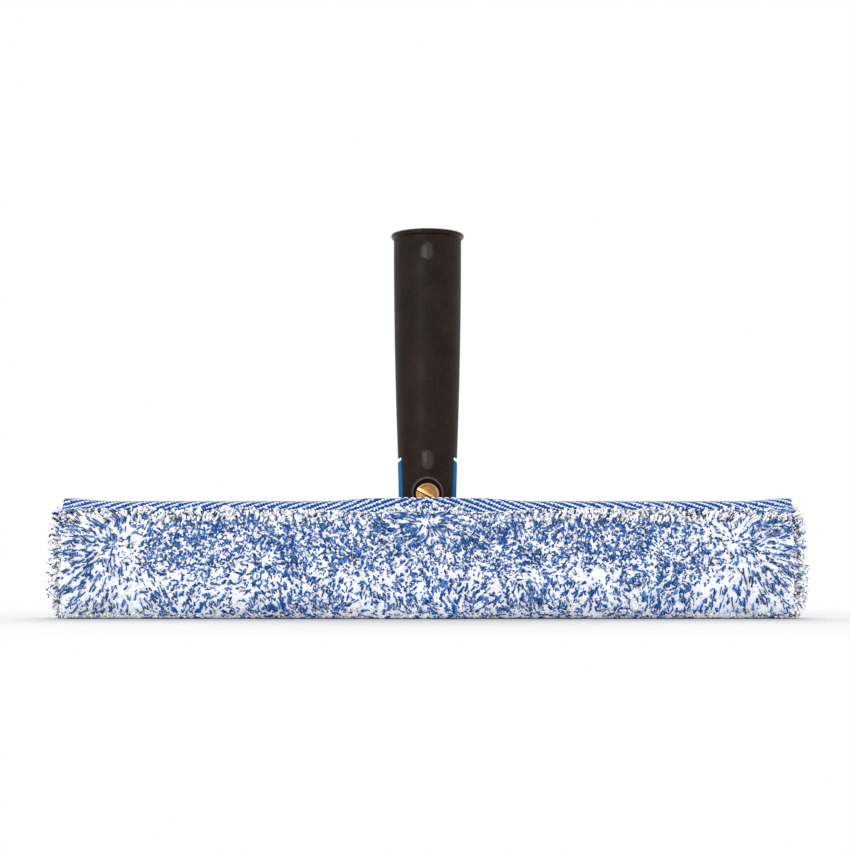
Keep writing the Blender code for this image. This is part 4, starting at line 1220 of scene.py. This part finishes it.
class WasherSleeveSettings(bpy.types.PropertyGroup):
    """Sizes and colours of the pile."""

    white_density: bpy.props.FloatProperty(
        name="White tufts", description="White tufts in a square centimetre", default=58.0, min=1.0
    )
    blue_density: bpy.props.FloatProperty(
        name="Blue tufts", description="Blue tufts in a square centimetre", default=90.0, min=1.0
    )
    white_radius: bpy.props.FloatProperty(
        name="White tuft", description="Radius of a white tuft", default=0.00095, **LENGTH
    )
    blue_radius: bpy.props.FloatProperty(
        name="Blue tuft", description="Radius of a blue tuft", default=0.00053, **LENGTH
    )
    white: bpy.props.FloatVectorProperty(
        name="White yarn", description="Colour of the white yarn", subtype="COLOR", default=linear("FBF9FD")
    )
    blue: bpy.props.FloatVectorProperty(
        name="Blue yarn", description="Colour of the blue yarn", subtype="COLOR", default=linear("265CA8")
    )


class WasherHandleSettings(bpy.types.PropertyGroup):
    """Colours of the mouldings."""

    black: bpy.props.FloatVectorProperty(
        name="Handle", description="Colour of the handle", subtype="COLOR", default=linear("170C08")
    )
    blue: bpy.props.FloatVectorProperty(
        name="T-bar", description="Colour of the T-bar", subtype="COLOR", default=linear("0A62A0")
    )


class WASHER_OT_pile(bpy.types.Operator):
    """Builds the sleeve's tufts and the cloth that they stand in"""

    bl_idname = "washer.pile"
    bl_label = "Pile sleeve"

    def execute(self, context):
        settings = context.scene.washer_sleeve
        sleeve = Sleeve()
        white = tuple(settings.white)
        blue = tuple(settings.blue)
        # The white yarn's foot is painted a darker sky blue, as shade in the hollows between the tufts.
        hollow_shade = linear("D3DCF5")
        navy = mixed(blue, linear("001945"), 0.6)
        lilac = linear("E6E4F3")
        bright = linear("7FA5DA")
        white_plain = ((0.0, hollow_shade), (0.5, mixed(white, hollow_shade, 0.3)), (CUT_LEVEL, white), (1.0, white))
        white_pale = ((0.0, hollow_shade), (0.5, lilac), (1.0, mixed(lilac, white, 0.4)))
        blue_end = mixed(blue, bright, 0.15)
        blue_plain = ((0.0, navy), (0.3, blue), (0.6, navy), (CUT_LEVEL, navy), (1.0, blue_end))
        pale_body, pale_end = mixed(blue, bright, 0.6), mixed(blue, bright, 0.9)
        blue_pale = ((0.0, navy), (0.4, pale_body), (CUT_LEVEL, blue), (1.0, pale_end))
        white_yarn = cut_pile_yarn("White microfibre yarn", white_plain, white_pale, 0.25, 0.0, 1.0)
        blue_yarn = cut_pile_yarn("Blue microfibre yarn", blue_plain, blue_pale, 0.35, 0.0, 0.0)
        kinds = (
            ("white", white_yarn, standing_tufts, settings.white_density, settings.white_radius, 101),
            ("blue", blue_yarn, pressed_tufts, settings.blue_density, settings.blue_radius, 202),
        )
        area = 2 * BODY_HALF_LENGTH * GIRTH * 1e4
        end_area = 2 * END_HALF_DEPTH * END_TOP * 1e4
        ends = {-1: [], 1: []}
        for word, yarn, tufts_of, density, radius, seed in kinds:
            profile, brim_rows, at_ends = TUFTS[word]
            form = {"sides": 4, "rings": 3, "profile": profile}
            tufts, share = tufts_of(sleeve, int(area * density), radius, seed)
            for region, low, high in REGIONS:
                for side, side_word in SIDES:
                    chosen = (share >= low) & (share < high) & (tufts[0][:, 0] * side >= 0)
                    part = [values[chosen] for values in tufts]
                    tuft_piece(f"pile_{word}_{region}_{side_word}", part, form, yarn)
            for side, side_word in ((-1, "front"), (1, "back")):
                row = brim_tufts(side, int(density * brim_rows), radius * 0.95, seed + 7 + side)
                tuft_piece(f"pile_{word}_brim_{side_word}", row, form, yarn)
            for side, side_word in SIDES:
                panel = end_tufts(side, int(end_area * density * at_ends), radius * 0.9, seed + side)
                ends[side].append(tuft_piece(f"pile_{word}_end_{side_word}", panel, form, yarn))
        cloth = knitted_cloth("Knitted backing", "EEF2FC", 0.0012)
        backing = make_backing(sleeve)
        place(backing, cloth, HEAD, "sleeve_pile")
        for side, side_word in SIDES:
            panel = make_end_backing(f"end_backing_{side_word}", side)
            place(panel, cloth, HEAD, f"sleeve_end_{side_word}")
        return {"FINISHED"}


class WASHER_OT_bands(bpy.types.Operator):
    """Builds the two woven bands along the sleeve's top and their stitches"""

    bl_idname = "washer.bands"
    bl_label = "Woven bands"

    def execute(self, context):
        twill = twill_band()
        shades = ((0.0, "DCE2F0"), (0.5, "F4F4F8"), (1.0, "F4F4F8"))
        thread = cut_pile_yarn("Sewing thread", shades, shades, 0.2, 0.1, 0.0)
        for node, front, seams, rests in (
            ("band_front", True, (0.05, 0.95), ["band_back_twill", "sleeve_backing"]),
            ("band_back", False, (0.05, 0.93), ["t_bar", "sleeve_backing"]),
        ):
            band = make_band(f"{node}_twill", front)
            place(band, twill, HEAD, node)
            seam = make_stitches(f"{node}_stitches", front, seams)
            place(seam, thread, HEAD)
        return {"FINISHED"}


class WASHER_OT_tapes(bpy.types.Operator):
    """Builds the hook and loop tapes between the bands"""

    bl_idname = "washer.tapes"
    bl_label = "Hook and loop tapes"

    def execute(self, context):
        loop = knitted_cloth("Brushed loop tape", "E4E6EC", 0.0007)
        hook = knitted_cloth("Woven hook tape", "D5D8E0", 0.0011)
        for _, word in SIDES:
            for kind, material in (("loop", loop), ("hook", hook)):
                node = f"{kind}_tape_{word}"
                strip = make_strip(f"{kind}_strip_{word}", node)
                place(strip, material, HEAD, node)
        return {"FINISHED"}


class WASHER_OT_bar(bpy.types.Operator):
    """Finishes the T-bar and the bush in its tongue"""

    bl_idname = "washer.bar"
    bl_label = "T-bar"

    def execute(self, context):
        blue = tuple(context.scene.washer_handle.blue)
        name = "Satin blue polypropylene"
        plastic = moulded_polypropylene(name, scaled(blue, 0.8), blue, "4E8CC4", 0.38, 0.12, 0.0006, 0.00002)
        place(smooth_copy("t_bar", "t_bar_moulding"), plastic, HEAD, "t_bar")
        place(smooth_copy("pivot_bush", "bush_brass"), turned_brass(), HEAD, "pivot_bush")
        return {"FINISHED"}


class WASHER_OT_handle(bpy.types.Operator):
    """Builds the black handle with its rim, pips, fork and pockets"""

    bl_idname = "washer.handle"
    bl_label = "Handle"

    def execute(self, context):
        black = tuple(context.scene.washer_handle.black)
        dark, light = scaled(black, 0.7), scaled(black, 2.0)
        name = "Matt black polypropylene"
        # 5E5652 is the paler colour painted on as a highlight.
        plastic = moulded_polypropylene(name, dark, light, "5E5652", 0.52, 0.145, 0.0013, 0.00026)
        place(make_handle(), plastic, HANDLE, "handle")
        return {"FINISHED"}


class WASHER_OT_fasteners(bpy.types.Operator):
    """Builds the swivel's screw and nut, and finishes its washers and friction discs"""

    bl_idname = "washer.fasteners"
    bl_label = "Swivel fasteners"

    def execute(self, context):
        brass = turned_brass()
        steel = plated_steel()
        place(make_screw(), brass, SCREW, "swivel_screw")
        place(make_nut(), brass, HANDLE, "swivel_nut")
        black = nylon("Black nylon", "1C1B1C", 0.45)
        white = nylon("Natural nylon", "E6E3DA", 0.5)
        for node, name, material, slot in (
            ("head_washer", "washer_black", black, "washer_plastic"),
            ("spring_washer", "washer_spring", steel, "washer_steel"),
            ("friction_disc_front", "disc_front", white, "disc_plastic"),
            ("friction_disc_rear", "disc_rear", white, "disc_plastic"),
        ):
            place(smooth_copy(node, name), material, HANDLE, node)
        return {"FINISHED"}


def shown_ray(tree):
    """1 for rays from the camera and for mirrored and refracted ones, which all show the white background."""
    path = add(tree, "LightPath").node.outputs
    some = add(tree, "Math", {0: path["Is Camera Ray"], 1: path["Is Glossy Ray"]}, operation="MAXIMUM")
    return add(tree, "Math", {0: some, 1: path["Is Transmission Ray"]}, operation="MAXIMUM")


def empty_tree(owner):
    """A material's or a world's node tree, with nothing in it."""
    owner.use_nodes = True
    owner.node_tree.nodes.clear()
    return owner.node_tree


def make_floor():
    """A wide pale floor, which lights the washer as a nearly white one would.

    The camera sees it plain under the washer, where it keeps the shadow, and white of its own further off,
    where it meets the white background.
    """
    made = piece("floor", [[-4, -4, 0], [4, -4, 0], [4, 6, 0], [-4, 6, 0]], [np.array([[0, 1, 2, 3]])])
    material = bpy.data.materials.new("White sweep")
    tree = empty_tree(material)
    plain = add(tree, "BsdfDiffuse", {"Color": rgba("F4F4F4")})
    shadowed = add(tree, "BsdfDiffuse", {"Color": rgba("D6D6D6")})
    glow = add(tree, "Emission", {"Color": rgba("FFFFFF"), "Strength": 1.0})
    spot = add(tree, "TexCoord", output="Object")
    narrowed = add(tree, "Mapping", {"Vector": spot, "Scale": (0.3, 1.0, 1.0)})
    far = add(tree, "VectorMath", {"Vector": narrowed}, "Value", operation="LENGTH")
    reach = {"Value": far, "From Min": 0.04, "From Max": 0.24}
    own = add(tree, "MapRange", reach, interpolation_type="SMOOTHSTEP")
    seen = add(tree, "MixShader", {0: own, 1: shadowed, 2: glow})
    add(tree, "OutputMaterial", {"Surface": add(tree, "MixShader", {0: shown_ray(tree), 1: plain, 2: seen})})
    paint(made, material)


def make_world():
    """White where it is seen, and a plain pale light elsewhere."""
    world = bpy.data.worlds.new("Studio")
    tree = empty_tree(world)
    seen = add(tree, "Background", {"Color": rgba("FFFFFF"), "Strength": 1.0})
    light = add(tree, "Background", {"Color": rgba("FDFEFF"), "Strength": 0.84})
    add(tree, "OutputWorld", {"Surface": add(tree, "MixShader", {0: shown_ray(tree), 1: light, 2: seen})})
    bpy.context.scene.world = world


def soft_light(name, spot, aim, size, power, mirrored):
    """A square area light at a spot, turned to aim at a point."""
    made = new_object(name, bpy.data.lights.new(name, "AREA"))
    made.data.size = size
    made.data.energy = power
    made.location = spot
    direction = Vector(aim) - made.location
    made.rotation_euler = direction.to_track_quat("-Z", "Y").to_euler()
    made.visible_glossy = mirrored


def make_camera():
    camera = new_object("Camera", bpy.data.cameras.new("Camera"))
    camera.data.lens = CAMERA_LENS
    camera.data.sensor_width = SENSOR_WIDTH
    camera.location = (CAMERA_SIDE, -CAMERA_DISTANCE, CAMERA_HEIGHT)
    tilt = math.atan2(CAMERA_AIM_HEIGHT - CAMERA_HEIGHT, CAMERA_DISTANCE)
    camera.rotation_euler = (math.pi / 2 + tilt, 0, 0)
    camera.data.clip_start = 0.01
    camera.data.clip_end = 50
    bpy.context.scene.camera = camera


class WASHER_OT_stage(bpy.types.Operator):
    """Sets the floor, the world, the lights and the camera"""

    bl_idname = "washer.stage"
    bl_label = "Studio"

    def execute(self, context):
        context.scene.view_settings.view_transform = "Standard"
        make_camera()
        make_floor()
        make_world()
        for lamp in LAMPS:
            soft_light(*lamp)
        return {"FINISHED"}


class WASHER_PT_panel(bpy.types.Panel):
    """Lists the pieces in the order in which they are built"""

    bl_label = "Window washer"
    bl_idname = "WASHER_PT_panel"
    bl_space_type = "VIEW_3D"
    bl_region_type = "UI"
    bl_category = "Washer"

    def draw(self, context):
        column = self.layout.column()
        for settings in (context.scene.washer_sleeve, context.scene.washer_handle):
            for name in settings.bl_rna.properties.keys():
                if name not in ("rna_type", "name"):
                    column.prop(settings, name)
        for operator in OPERATORS:
            column.operator(operator.bl_idname)


OPERATORS = (
    WASHER_OT_pile,
    WASHER_OT_bands,
    WASHER_OT_tapes,
    WASHER_OT_bar,
    WASHER_OT_handle,
    WASHER_OT_fasteners,
    WASHER_OT_stage,
)
CLASSES = (WasherSleeveSettings, WasherHandleSettings, *OPERATORS, WASHER_PT_panel)


def register():
    for made in CLASSES:
        bpy.utils.register_class(made)
    bpy.types.Scene.washer_sleeve = bpy.props.PointerProperty(type=WasherSleeveSettings)
    bpy.types.Scene.washer_handle = bpy.props.PointerProperty(type=WasherHandleSettings)


def unregister():
    del bpy.types.Scene.washer_handle
    del bpy.types.Scene.washer_sleeve
    for made in reversed(CLASSES):
        bpy.utils.unregister_class(made)


def main():
    register()
    bpy.ops.washer.pile()
    bpy.ops.washer.bands()
    bpy.ops.washer.tapes()
    bpy.ops.washer.bar()
    bpy.ops.washer.handle()
    bpy.ops.washer.fasteners()
    bpy.ops.washer.stage()


if __name__ == "__main__":
    main()
